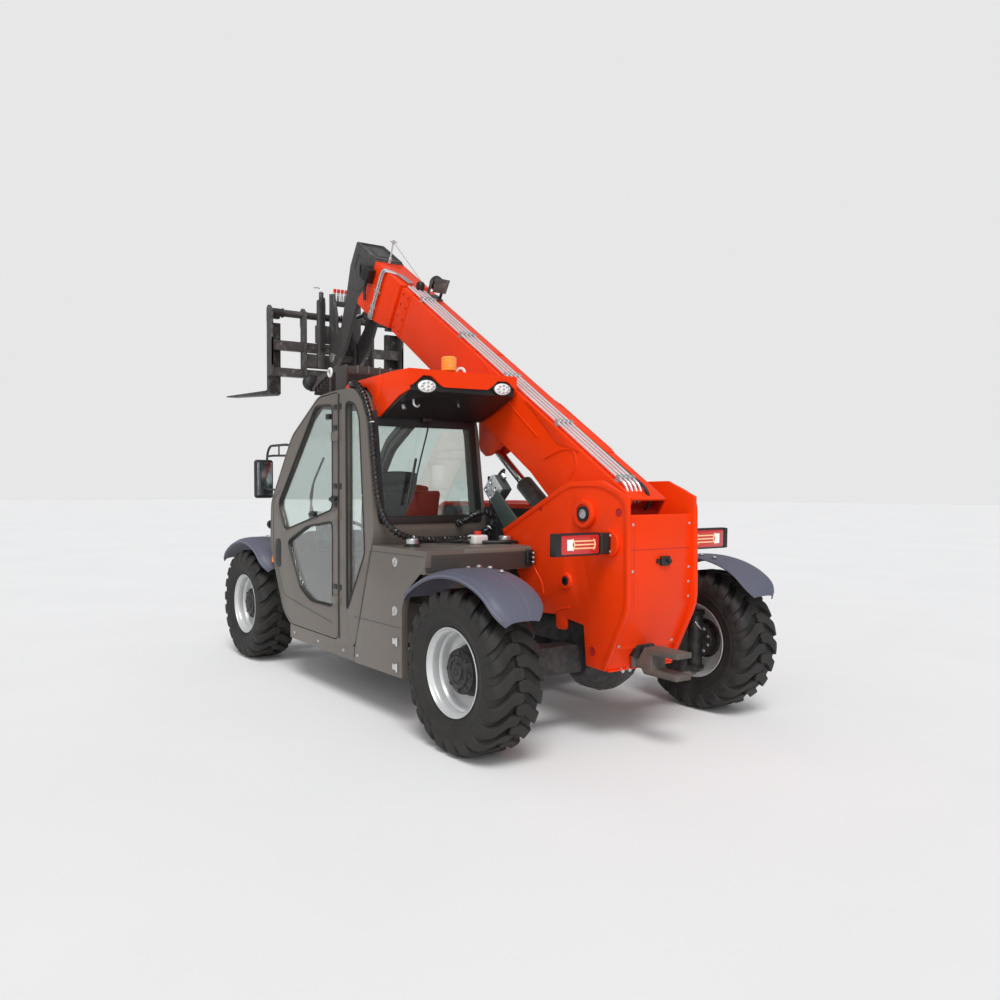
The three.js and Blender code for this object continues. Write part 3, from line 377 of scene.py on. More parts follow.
def clouds(tree, where, scale, detail=4.0, rough=0.55):
    """A noise over the piece's own space."""
    noise = node(tree, "ShaderNodeTexNoise", Scale=scale, Detail=detail, Roughness=rough)
    tree.links.new(where.outputs["Object"], noise.inputs["Vector"])
    return noise.outputs["Fac"]


def ranged(tree, source, low, high, out_low, out_high):
    """A number between low and high, carried over to another range."""
    spread = tree.nodes.new("ShaderNodeMapRange")
    for key, value in zip(("From Min", "From Max", "To Min", "To Max"), (low, high, out_low, out_high)):
        spread.inputs[key].default_value = value
    tree.links.new(source, spread.inputs["Value"])
    return spread.outputs["Result"]


def blended(tree, factor, a, b):
    """A colour between a and b; either may be a plain colour or another node's colour."""
    mix = tree.nodes.new("ShaderNodeMix")
    mix.data_type = "RGBA"
    tree.links.new(factor, mix.inputs["Factor"])
    for socket, value in ((mix.inputs[6], a), (mix.inputs[7], b)):
        if isinstance(value, tuple):
            socket.default_value = (*value, 1)
        else:
            tree.links.new(value, socket)
    return mix.outputs[2]


def tinted(colour, by):
    return tuple(min(1.0, part * by) for part in colour)


def multiplied(tree, a, b):
    product = tree.nodes.new("ShaderNodeMath")
    product.operation = "MULTIPLY"
    tree.links.new(a, product.inputs[0])
    tree.links.new(b, product.inputs[1])
    return product.outputs[0]


def bumped(tree, shader, height, distance):
    bump = node(tree, "ShaderNodeBump", Strength=1.0, Distance=distance)
    tree.links.new(height, bump.inputs["Height"])
    tree.links.new(bump.outputs["Normal"], shader.inputs["Normal"])


DUST_TOP = 0.9  # dust thins out up to this height
DUST = (0.2, 0.17, 0.14)


def coated(name, colour, rough, metal=0.0, coat=0.0, mottle=0.08, patch=2.5, grain=260.0,
           grain_depth=0.0003, dust=0.25, worn=None, rough_spread=0.1, shine=0.5):
    """Paint, plastic or metal: clouded colour, dust low down and in patches, rubbed edges, fine grain."""
    material, tree, shader, where = blank(name)
    cloud = clouds(tree, where, patch)
    base = blended(tree, ranged(tree, cloud, 0.3, 0.7, 0, 1), tinted(colour, 1 - mottle),
                   tinted(colour, 1 + mottle))
    if dust:
        split = node(tree, "ShaderNodeSeparateXYZ")
        tree.links.new(where.outputs["Object"], split.inputs[0])
        low_down = ranged(tree, split.outputs["Z"], DUST_TOP, 0.1, 0.0, 1.0)
        speckle = ranged(tree, clouds(tree, where, patch * 9, 8.0, 0.7), 0.42, 0.68, 0.0, dust)
        base = blended(tree, multiplied(tree, low_down, speckle), base, DUST)
    if worn:
        edge = ranged(tree, tree.nodes.new("ShaderNodeNewGeometry").outputs["Pointiness"], 0.52, 0.6, 0.0,
                      1.0)
        rub = ranged(tree, clouds(tree, where, 18.0, 6.0, 0.7), 0.5, 0.62, 0.0, 0.8)
        base = blended(tree, multiplied(tree, edge, rub), base, worn)
    tree.links.new(base, shader.inputs["Base Color"])
    gloss = ranged(tree, clouds(tree, where, patch * 4, 6.0), 0.3, 0.7, rough - rough_spread / 2,
                   rough + rough_spread / 2)
    tree.links.new(gloss, shader.inputs["Roughness"])
    shader.inputs["Metallic"].default_value = metal
    shader.inputs["Specular IOR Level"].default_value = shine
    shader.inputs["Coat Weight"].default_value = coat
    shader.inputs["Coat Roughness"].default_value = 0.12
    bumped(tree, shader, clouds(tree, where, grain, 3.0), grain_depth)
    return material


def window_glass(name, colour, haze=0.03):
    """A tinted pane: mostly clear, with a reflection that grows at a slant."""
    material, tree, shader, where = blank(name)
    clear = node(tree, "ShaderNodeBsdfTransparent", Color=(*colour, 1))
    mirror = node(tree, "ShaderNodeBsdfGlossy", Color=(1, 1, 1, 1))
    smear = ranged(tree, clouds(tree, where, 6.0, 5.0), 0.35, 0.7, haze * 0.5, haze * 2)
    tree.links.new(smear, mirror.inputs["Roughness"])
    slant = node(tree, "ShaderNodeLayerWeight", Blend=0.3)
    mix = tree.nodes.new("ShaderNodeMixShader")
    tree.links.new(ranged(tree, slant.outputs["Facing"], 0.0, 0.9, 0.03, 0.35), mix.inputs["Fac"])
    tree.links.new(clear.outputs["BSDF"], mix.inputs[1])
    tree.links.new(mirror.outputs["BSDF"], mix.inputs[2])
    tree.links.new(mix.outputs["Shader"], tree.nodes["Material Output"].inputs["Surface"])
    tree.nodes.remove(shader)
    return material


def lens(name, colour, glow=0.0):
    """A moulded lens: coloured, glossy, with fine ribs inside it."""
    material, tree, shader, where = blank(name)
    ribs = tree.nodes.new("ShaderNodeTexWave")
    ribs.inputs["Scale"].default_value = 60.0
    tree.links.new(where.outputs["Object"], ribs.inputs["Vector"])
    tone = ranged(tree, ribs.outputs["Fac"], 0, 1, 0, 1)
    tree.links.new(blended(tree, tone, tinted(colour, 0.8), tinted(colour, 1.1)),
                   shader.inputs["Base Color"])
    shader.inputs["Roughness"].default_value = 0.12
    shader.inputs["Coat Weight"].default_value = 0.8
    shader.inputs["Emission Color"].default_value = (*colour, 1)
    shader.inputs["Emission Strength"].default_value = glow
    bumped(tree, shader, ribs.outputs["Fac"], 0.0004)
    return material


def tread_rubber(name):
    """Tyre rubber: near black, greyer in random patches, finely pitted."""
    material, tree, shader, where = blank(name)
    patchy = ranged(tree, clouds(tree, where, 9.0, 8.0, 0.65), 0.38, 0.68, 0.0, 1.0)
    base = blended(tree, patchy, (0.012, 0.0112, 0.0103), (0.03, 0.027, 0.024))
    tree.links.new(base, shader.inputs["Base Color"])
    tree.links.new(ranged(tree, patchy, 0, 1, 0.62, 0.85), shader.inputs["Roughness"])
    bumped(tree, shader, clouds(tree, where, 420.0, 4.0), 0.0005)
    return material


ORANGE = (0.88, 0.046, 0.003)
CAB_BROWN = (0.14, 0.121, 0.104)
STEEL_BROWN = (0.07, 0.066, 0.064)

FINISHES = {
    "orange": (coated("orange_gloss", ORANGE, 0.33, coat=0.12, mottle=0.05, dust=0.12, grain_depth=0.0002,
                      shine=0.12), "orange_paint"),
    # A darker copy of the orange: painted shade in holes, recesses, the boom's tail and hidden faces; also
    # the dark seams.
    "orange_shade": (coated("orange_seams_and_painted_shade", (0.45, 0.012, 0.006), 0.45, mottle=0.1), "orange_paint"),
    "cab": (coated("cab_satin", CAB_BROWN, 0.42, coat=0.15, mottle=0.05, dust=0.2, grain_depth=0.0002),
            "cab_paint"),
    # A darker copy of the cab brown: painted shade along the door's pressed crease; also the dark panel
    # seams.
    "cab_dark": (coated("cab_seams_and_painted_crease_shade", (0.085, 0.078, 0.072), 0.6, mottle=0.1), "cab_paint"),
    "steel": (coated("carriage_satin", STEEL_BROWN, 0.45, metal=0.2, mottle=0.12, worn=(0.22, 0.21, 0.2)),
              "dark_steel"),
    "fork": (coated("fork_black", (0.035, 0.032, 0.03), 0.5, metal=0.2, mottle=0.15,
                    worn=(0.3, 0.29, 0.28)), "dark_steel"),
    "black": (coated("frame_black", (0.016, 0.016, 0.017), 0.5, metal=0.1, mottle=0.2, dust=0.35),
              "chassis_black"),
    "guard": (coated("guard_plastic", (0.105, 0.108, 0.15), 0.48, mottle=0.08, grain=180,
                     grain_depth=0.0005, dust=0.12), "mudguard_plastic"),
    # A lighter copy of the guard plastic for the rolled lip: a painted highlight.
    "guard_lip": (coated("guard_lip_painted_highlight", (0.155, 0.158, 0.215), 0.5, mottle=0.08, dust=0.1),
                  "mudguard_plastic"),
    "tyre": (tread_rubber("tyre_rubber"), "tyre_rubber"),
    "rim": (coated("rim_silver", (0.6, 0.61, 0.61), 0.34, metal=0.35, coat=0.1, mottle=0.06, dust=0.12,
                   patch=6), "rim_paint"),
    "chrome": (coated("bright_chrome", (0.78, 0.78, 0.8), 0.14, metal=1.0, mottle=0.03, dust=0,
                      grain_depth=0.00005), "chrome_rod"),
    "zinc": (coated("zinc_plate", (0.62, 0.62, 0.63), 0.3, metal=0.85, mottle=0.08, dust=0,
                    grain_depth=0.0001), "chrome_rod"),
    # Silver lifted nearly to white so that the pipes read bright: their own silver plus a painted
    # highlight.
    "pipe": (coated("pipe_silver_painted_highlight", (0.84, 0.84, 0.85), 0.28, metal=0.55, mottle=0.05, dust=0),
             "chrome_rod"),
    "iron": (coated("cast_iron", (0.13, 0.112, 0.098), 0.72, metal=0.3, mottle=0.2, patch=12, grain=90,
                    grain_depth=0.0015), "cast_iron"),
    "glass": (window_glass("green_tint", (0.91, 0.95, 0.935), 0.015), "tinted_glass"),
    "mirror": (coated("mirror_silver", (0.55, 0.6, 0.66), 0.05, metal=1.0, mottle=0.04, dust=0,
                      rough_spread=0.02), "tinted_glass"),
    "amber": (lens("amber_lens", (1.0, 0.3, 0.02), glow=0.15), "amber_lens"),
    "red": (lens("red_lens", (0.62, 0.012, 0.012)), "red_lens"),
    "white_lens": (lens("clear_lens", (0.86, 0.86, 0.84), glow=0.25), "red_lens"),
    "guide": (lens("light_guide", (1.0, 0.52, 0.26), glow=0.3), "red_lens"),
    "hose": (coated("hose_rubber", (0.014, 0.014, 0.015), 0.5, mottle=0.2, dust=0.1), "hose_rubber"),
    "spiral": (coated("spiral_wrap", (0.012, 0.012, 0.013), 0.32, coat=0.2, mottle=0.15, dust=0.0),
               "hose_rubber"),
    "valve": (coated("valve_grey", (0.4, 0.43, 0.44), 0.45, mottle=0.1, dust=0), "valve_paint"),
    "valve_side": (coated("valve_green", (0.045, 0.065, 0.058), 0.5, mottle=0.1, dust=0), "valve_paint"),
    "plastic": (coated("black_plastic", (0.014, 0.014, 0.014), 0.42, mottle=0.15, dust=0.1, grain=320,
                       grain_depth=0.0004), "black_plastic"),
    "guard_bar": (coated("roof_guard_grey", (0.05, 0.044, 0.04), 0.5, mottle=0.12, dust=0),
                  "black_plastic"),
    "seat": (coated("seat_vinyl", (0.022, 0.03, 0.027), 0.55, mottle=0.12, dust=0, grain=520,
                    grain_depth=0.0008), "black_plastic"),
    "cap_red": (coated("cap_red", (0.7, 0.04, 0.02), 0.4, dust=0), "orange_paint"),
    "tank_white": (coated("bottle_white", (0.72, 0.72, 0.7), 0.35, dust=0), "chrome_rod"),
    "tag": (coated("strap_white", (0.8, 0.8, 0.78), 0.5, dust=0), "chrome_rod"),
}


# ---------------- the studio

FLOOR_RADIUS = 60
SUNS = (("key", (3.0, 4.5, 9.0), 1.7, 24), ("side", (5.5, 5.5, 2.0), 1.5, 85))
EYE = (3.3777, 5.4061, 1.3623)
EYE_RIGHT = Vector((-0.84341, 0.53725, 0.00367))
EYE_UP = Vector((-0.02326, -0.04334, 0.99879))
LENS_LENGTH, FILM_WIDTH = 31.18, 36  # millimetres
FILM_SHIFT = (0.07, 0.0242)


def studio():
    """A plain pale floor, a pale sky, broad soft lights, and the camera behind the left rear wheel."""
    world = bpy.data.worlds.new("studio_air")
    bpy.context.scene.world = world
    world.use_nodes = True
    tree = world.node_tree
    seen = tree.nodes["Background"]
    seen.inputs["Color"].default_value = (0.8, 0.8, 0.8, 1)
    around = node(tree, "ShaderNodeBackground", Color=(0.8, 0.81, 0.83, 1), Strength=0.45)
    ray = tree.nodes.new("ShaderNodeLightPath")
    mix = tree.nodes.new("ShaderNodeMixShader")
    tree.links.new(ray.outputs["Is Camera Ray"], mix.inputs["Fac"])
    tree.links.new(around.outputs["Background"], mix.inputs[1])
    tree.links.new(seen.outputs["Background"], mix.inputs[2])
    tree.links.new(mix.outputs["Shader"], tree.nodes["World Output"].inputs["Surface"])

    let_go()
    bpy.ops.mesh.primitive_circle_add(vertices=96, radius=FLOOR_RADIUS, fill_type="NGON",
                                      location=(0, 0, -0.001))
    floor = settle(bpy.context.active_object)
    floor.name = "studio_floor"
    material, tree, shader, where = blank("studio_floor")
    tone = ranged(tree, clouds(tree, where, 0.6), 0.3, 0.7, 0, 1)
    tree.links.new(blended(tree, tone, (0.86, 0.86, 0.86), (0.89, 0.89, 0.89)), shader.inputs["Base Color"])
    shader.inputs["Roughness"].default_value = 0.85
    shader.inputs["Specular IOR Level"].default_value = 0.1
    floor.data.materials.append(material)

    for name, spot, strength, spread in SUNS:
        light = bpy.data.lights.new(name, "SUN")
        light.energy = strength
        light.angle = radians(spread)
        lamp = bpy.data.objects.new(name, light)
        bpy.context.scene.collection.objects.link(lamp)
        lamp.matrix_world = pointing(spot, spot)

    camera = bpy.data.cameras.new("camera")
    camera.lens, camera.sensor_width = LENS_LENGTH, FILM_WIDTH
    camera.shift_x, camera.shift_y = FILM_SHIFT
    eye = bpy.data.objects.new("camera", camera)
    bpy.context.scene.collection.objects.link(eye)
    behind = EYE_RIGHT.cross(EYE_UP)
    turn = Matrix((EYE_RIGHT, EYE_UP, behind)).transposed().to_4x4()
    eye.matrix_world = Matrix.Translation(EYE) @ turn
    bpy.context.scene.camera = eye
    bpy.context.scene.view_settings.view_transform = "Standard"


# ---------------- shapes carried over from the frame

def refined(name, finish, edge=0.003, segments=2, smooth=32):
    """The frame's own shape with merged faces and eased corners, standing for it."""
    model = NODES[name]
    twin = twin_of(model)
    body = model["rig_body"]
    for key in list(twin.keys()):
        del twin[key]
    twin.parent = None
    edit(twin, "VERT")
    select_all()
    bpy.ops.mesh.remove_doubles(threshold=WELD)
    bpy.ops.mesh.dissolve_limited(angle_limit=radians(1.5))
    leave_edit()
    if edge:
        soften(twin, edge, segments)
    return hold(twin, f"{name}_shape", finish, body, IN_PLACE, smooth, (name,))


def repainted(name, finish):
    """A frame shape that is right as it is gets its finish only."""
    for holder in NODES[name].material_slots:
        holder.material = FINISHES[finish][0]


def carried_over():
    for name in ("front_axle", "rear_axle", "chassis_frame", "engine_skirt"):
        refined(name, "black", 0.005)
    for name in ("boom_tower_left", "boom_tower_right", "rear_cover"):
        refined(name, "orange", 0.004, 3)
    refined("boom_outer", "orange", 0.006, 3)
    refined("boom_inner", "orange", 0.005, 3)
    refined("engine_hood", "orange", 0.005, 3)
    refined("tow_hitch", "iron", 0.006, 3)
    refined("engine_block", "iron", 0.012)
    refined("boom_nose", "steel", 0.004, 3)
    refined("fork_carriage", "steel", 0.003)
    refined("quick_hitch", "steel", 0.004)
    for side in ("left", "right"):
        refined(f"fork_{side}", "fork", 0.005, 3)
    refined("lift_cylinder_pin", "steel", 0.003)
    for cylinder in ("lift", "tilt"):
        refined(f"{cylinder}_cylinder_barrel", "steel", 0.003, smooth=40)
        refined(f"{cylinder}_cylinder_rod", "chrome", 0.002, smooth=40)
    for end in ("front", "rear"):
        for side in ("left", "right"):
            refined(f"knuckle_{end}_{side}", "black", 0.004, smooth=40)
    for name in ("cab_frame", "cab_tub", "door_frame", "side_panel"):
        refined(name, "cab", 0.004, 3)
    refined("hydraulic_tank", "cab", 0.006, 3)
    for name in ("quarter_window", "right_window", "rear_window", "windscreen", "door_glass_upper",
                 "door_glass_lower"):
        repainted(name, "glass")


# ---------------- wheels

LUGS = 22
LUG_BASE = 0.388
LUG_HEIGHT = 0.0275
SHOULDER_START = 0.112
SHOULDER_BEND = 0.028
SHOULDER_SWEEP = radians(78)


def tyre_carcass():
    """Bead, bulging sidewall with its fine rings, and the floor between the lugs."""
    side = [
        (0.2125, 0.106), (0.222, 0.1165), (0.232, 0.1195), (0.244, 0.127), (0.25, 0.131),
        (0.2515, 0.133), (0.255, 0.1345), (0.257, 0.1335), (0.27, 0.1405), (0.286, 0.146),
        (0.296, 0.1485), (0.2975, 0.15), (0.301, 0.1505), (0.3025, 0.1495), (0.32, 0.15),
        (0.34, 0.1485), (0.358, 0.1445), (0.374, 0.137), (0.385, 0.125), (0.3895, 0.11), (0.3905, 0.06),
    ]
    inner = [(radius, -along) for radius, along in side]
    return turned([*inner, *reversed(side), inner[0]], 96, axis=LEFT)


def lug_surface(reach):
    """The floor under a lug as (outboard, radius), and which way is out, at a distance from the middle."""
    bend_end = SHOULDER_START + SHOULDER_BEND * SHOULDER_SWEEP
    turn = min(max(reach - SHOULDER_START, 0) / SHOULDER_BEND, SHOULDER_SWEEP)
    spot = Vector((min(reach, SHOULDER_START), LUG_BASE - SHOULDER_BEND))
    spot += SHOULDER_BEND * Vector((sin(turn), cos(turn)))
    if reach > bend_end:
        spot += (reach - bend_end) * Vector((cos(turn), -sin(turn)))
    return spot, Vector((sin(turn), cos(turn)))


def tyre_lug():
    """One bar of the tread: blunt in the middle, straight, then swept back over the shoulder."""
    let_go()
    bpy.ops.mesh.primitive_grid_add(x_subdivisions=13, y_subdivisions=2, size=1)
    lug = bpy.context.active_object
    edit(lug)
    select_all()
    bpy.ops.mesh.extrude_region_move(TRANSFORM_OT_translate={"value": (0, 0, 1)})
    select_all()
    bpy.ops.mesh.remove_doubles(threshold=0.0001)
    bpy.ops.mesh.select_mode(type="VERT")
    bpy.ops.mesh.select_non_manifold(extend=False)
    bpy.ops.mesh.fill_holes(sides=0)
    leave_edit()
    start, end = -0.016, 0.196
    for vertex in lug.data.vertices:
        share, across, height = vertex.co.x + 0.5, vertex.co.y * 2, vertex.co.z
        reach = start + (end - start) * share
        swept = max(reach - 0.04, 0) * tan(radians(40))
        swept = min(swept, 0.082 + max(reach - 0.14, 0) * 0.15)
        width = 0.027 + 0.006 * min(share * 1.6, 1.0)
        width *= 0.72 if share < 0.02 else 1.0
        width += 0.005 * (1 - height)
        spot, outward = lug_surface(reach)
        proud = LUG_HEIGHT if reach < 0.1 else max(0.005, LUG_HEIGHT - (reach - 0.1) * 0.3)
        spot = spot + outward * (proud * height)
        turn = (swept + across * width) / 0.4
        vertex.co = (spot.x, spot.y * sin(turn), spot.y * cos(turn))
    turn_outwards(lug)
    return soften(lug, 0.0035, 1, 48)


def mirrored(obj):
    """The same shape on the machine's other side."""
    twin = twin_of(obj)
    twin.matrix_world = Matrix.Scale(-1, 4, LEFT) @ obj.matrix_world
    settle(twin)
    edit(twin)
    select_all()
    bpy.ops.mesh.flip_normals()
    return leave_edit()


def both_sides(pieces):
    """Each finish with its left piece, then with a mirror image of it for the right."""
    for finish, piece in pieces.items():
        twin = mirrored(piece)
        yield finish, "left", piece
        yield finish, "right", twin


def whole_tyre():
    lug = tyre_lug()
    inner_lug = mirrored(lug)
    pitch = 2 * pi / LUGS
    outer_row = copied(lug, [Matrix.Rotation(pitch * k, 4, "X") for k in range(LUGS)])
    inner_row = copied(inner_lug, [Matrix.Rotation(pitch * (k + 0.5), 4, "X") for k in range(LUGS)])
    return joined([tyre_carcass(), outer_row, inner_row])


def whole_rim():
    """Rolled flange, bead seat, stepped barrel and dished disc."""
    return turned([
        (0.2215, 0.114), (0.225, 0.1185), (0.2262, 0.1225), (0.224, 0.125), (0.2205, 0.1245),
        (0.2175, 0.119),
        (0.2135, 0.112), (0.205, 0.106), (0.2015, 0.098), (0.2005, 0.062), (0.1945, 0.054), (0.19, 0.045),
        (0.188, 0.022), (0.18, 0.007), (0.165, -0.003), (0.15, -0.005), (0.14, 0.001), (0.13, 0.004),
        (0.1, 0.004), (0.1, -0.008), (0.15, -0.018), (0.184, -0.006), (0.191, -0.03),
        (0.197, -0.09), (0.2045, -0.108), (0.2175, -0.117), (0.222, -0.1245), (0.2262, -0.1225),
        (0.2215, -0.114), (0.2117, -0.109), (0.2117, 0.109), (0.2215, 0.114),
    ], 72, axis=LEFT)


def whole_hub():
    """The dark drum with its ring of wheel bolts, stepped cover and centre plug."""
    drum = turned([
        (0.09, -0.029), (0.129, -0.006), (0.131, 0.004), (0.129, 0.011), (0.122, 0.013), (0.118, 0.018),
        (0.1165, 0.056), (0.113, 0.068), (0.106, 0.073), (0.084, 0.0745), (0.082, 0.078), (0.08, 0.084),
        (0.062, 0.086), (0.06, 0.082), (0.044, 0.082), (0.042, 0.088), (0.038, 0.0905), (0.02, 0.0905),
        (0.019, 0.087), (0.012, 0.087), (0.011, 0.0915), (0.001, 0.0915),
    ], 64, axis=LEFT)
    studs = bolts([(0.074, 0.0955 * sin(k * pi / 4), 0.0955 * cos(k * pi / 4)) for k in range(8)], LEFT,
                  0.0095)
    cover = bolts([(0.0822, 0.052 * sin(k * pi / 3), 0.052 * cos(k * pi / 3)) for k in range(6)], LEFT,
                  0.0045)
    return joined([drum, studs, cover])


def swivel_bolts():
    """Bolts and a bent oil line on the swivel's inboard face."""
    ring = bolts([(-0.0775, 0.082 * sin(k * pi / 5), 0.082 * cos(k * pi / 5)) for k in range(10)], -LEFT,
                 0.008)
    line = tube([(-0.076, 0.03, 0.055), (-0.11, 0.05, 0.075), (-0.135, 0.03, 0.11), (-0.12, -0.01, 0.135)],
                0.006, 0.03)
    return joined([ring, line])


def wheels():
    patterns = {"tyre": whole_tyre(), "rim": whole_rim(), "hub": whole_hub(), "swivel": swivel_bolts()}
    both = {kind: {"left": model, "right": mirrored(model)} for kind, model in patterns.items()}
    finishes = {"tyre": "tyre", "rim": "rim", "hub": "black", "swivel": "zinc"}
    for kind, sides in both.items():
        for side, sign in SIDES:
            for end, back in (("front", REAR_AXLE - WHEELBASE), ("rear", REAR_AXLE)):
                place = Matrix.Translation((sign * TRACK_HALF, back, AXLE_HEIGHT))
                piece = copied(sides[side], [place], keep=True)
                body = f"knuckle_{end}_{side}" if kind == "swivel" else f"wheel_{end}_{side}"
                stands_for = (f"{kind}_{end}_{side}",) if kind in ("tyre", "rim") else ()
                name = f"{kind}_{end}_{side}_piece"
                hold(piece, name, finishes[kind], body, IN_PLACE, 35, stands_for)
        for model in sides.values():
            bpy.data.objects.remove(model)


# ---------------- mudguards

GUARD_TOP = 0.93
GUARD_HALF = 0.49
GUARD_DROP = 0.19
GUARD_IN = 0.722
GUARD_OUT = 1.028
GUARD_RADIUS = (GUARD_HALF ** 2 + GUARD_DROP ** 2) / (2 * GUARD_DROP)
GUARD_SKIN = 0.007
GUARD_SWEEP = atan2(GUARD_HALF, GUARD_RADIUS - GUARD_DROP)


def drooped(back, up, along):
    """Past its middle the guard falls away and draws in towards its rear end."""
    if along > 0.55:
        past = ((along - 0.55) / 0.45) ** 2
        up -= 0.018 * past
        back -= 0.03 * past
    return back * (1 - 0.08 * max(along, 0) ** 1.5), up


def guard_shell():
    """A moulded guard over the left wheel: crowned, with a crease, a rolled lip and a rounded rear end."""
    let_go()
    bpy.ops.mesh.primitive_grid_add(x_subdivisions=26, y_subdivisions=48, size=1)
    shell = bpy.context.active_object
    middle, half = (GUARD_IN + GUARD_OUT) / 2, (GUARD_OUT - GUARD_IN) / 2
    for vertex in shell.data.vertices:
        across, along = vertex.co.x * 2, vertex.co.y * 2
        tip = max(abs(along) - 0.8, 0) / 0.2
        width = half * (1 - 0.16 * tip ** 2.2 - 0.24 * (max(along - 0.7, 0) / 0.3) ** 2)
        turn = GUARD_SWEEP * along
        crown = 0.026 * max(across, 0) ** 3 + 0.012 * max(-across, 0) ** 3
        crown += 0.016 * max(across - 0.82, 0) / 0.18
        crease = 0.004 * max(0, 1 - abs(across + 0.25) / 0.06)
        radius = GUARD_RADIUS - 0.001 - crown - crease
        back = radius * sin(turn)
        up = GUARD_TOP - GUARD_RADIUS + radius * cos(turn)
        back, up = drooped(back, up, along)
        vertex.co = (middle + across * width, back, up)
    with_modifier(shell, "SOLIDIFY", thickness=GUARD_SKIN, offset=-1)
    turn_outwards(shell)
    return soften(shell, 0.0018, 2, 50)


def guard_lip():
    """The lighter band along the outer edge: a painted highlight on the rolled lip."""
    route = []
    for k in range(33):
        turn = GUARD_SWEEP * 0.93 * (k / 16 - 1)
        along = 0.93 * (k / 16 - 1)
        radius = GUARD_RADIUS - 0.034
        back, up = radius * sin(turn), GUARD_TOP - GUARD_RADIUS + radius * cos(turn)
        back, up = drooped(back, up, along)
        narrowed = 0.014 * max(abs(along) - 0.8, 0) / 0.13 + 0.037 * (max(along - 0.7, 0) / 0.3) ** 2
        route.append((GUARD_OUT - 0.006 - narrowed, back, up))
    return tube(route, 0.0055, 0.001, 1, 2)


def guard_arm(end, side, shift):
    """The bracket that carries the guard: from rail or tower, or from under the deck at the left rear."""
    top = GUARD_TOP - 0.018
    if (end, side) == ("rear", "left"):
        return joined([
            block((GUARD_IN + 0.03, -0.42, 0.859), (GUARD_IN + 0.08, shift + 0.03, 0.871), 0.002),
            block((GUARD_IN + 0.03, shift - 0.03, 0.859), (GUARD_IN + 0.08, shift + 0.03, top - 0.012),
                  0.002),
        ])
    inner, foot = (0.2325, 0.69) if end == "front" else (0.2505, 0.8)
    return joined([
        block((inner, shift - 0.03, foot), (inner + 0.01, shift + 0.03, top - 0.024), 0.002),
        block((inner, shift - 0.026, top - 0.034), (GUARD_IN + 0.12, shift + 0.026, top - 0.024), 0.002),
    ])


def mudguards():
    models = {"guard": guard_shell(), "guard_lip": guard_lip()}
    for end, back in (("front", -WHEELBASE), ("rear", 0.0)):
        for side, sign in SIDES:
            shift = 0.15 if end == "front" else -0.18
            arm = guard_arm(end, side, shift)
            spots = [-0.16 + 0.095 * k for k in range(4)]
            heads = bolts([(GUARD_IN + 0.065, y,
                            GUARD_TOP - GUARD_RADIUS + (GUARD_RADIUS ** 2 - y * y) ** 0.5 + 0.001)
                            for y in spots],
                          UP, 0.0115)
            parts = {**{finish: copied(model, [IN_PLACE], keep=True) for finish, model in models.items()},
                     "zinc": heads, "black": arm}
            for finish, piece in parts.items():
                if sign < 0:
                    twin = mirrored(piece)
                    bpy.data.objects.remove(piece)
                    piece = twin
                name = {"guard": "shell", "guard_lip": "lip", "zinc": "bolts", "black": "arm"}[finish]
                stands_for = (f"mudguard_{end}_{side}",) if finish == "guard" else ()
                hold(piece, f"mudguard_{end}_{side}_{name}", finish, "chassis",
                     MACHINE @ Matrix.Translation((0, back, 0)), 40, stands_for)
    for model in models.values():
        bpy.data.objects.remove(model)


# ---------------- tail lamps

LAMP_BACK = 0.345
LAMP_LOW, LAMP_TOP = 0.998, 1.112
LAMP_IN, LAMP_OUT = 0.2505, 0.63


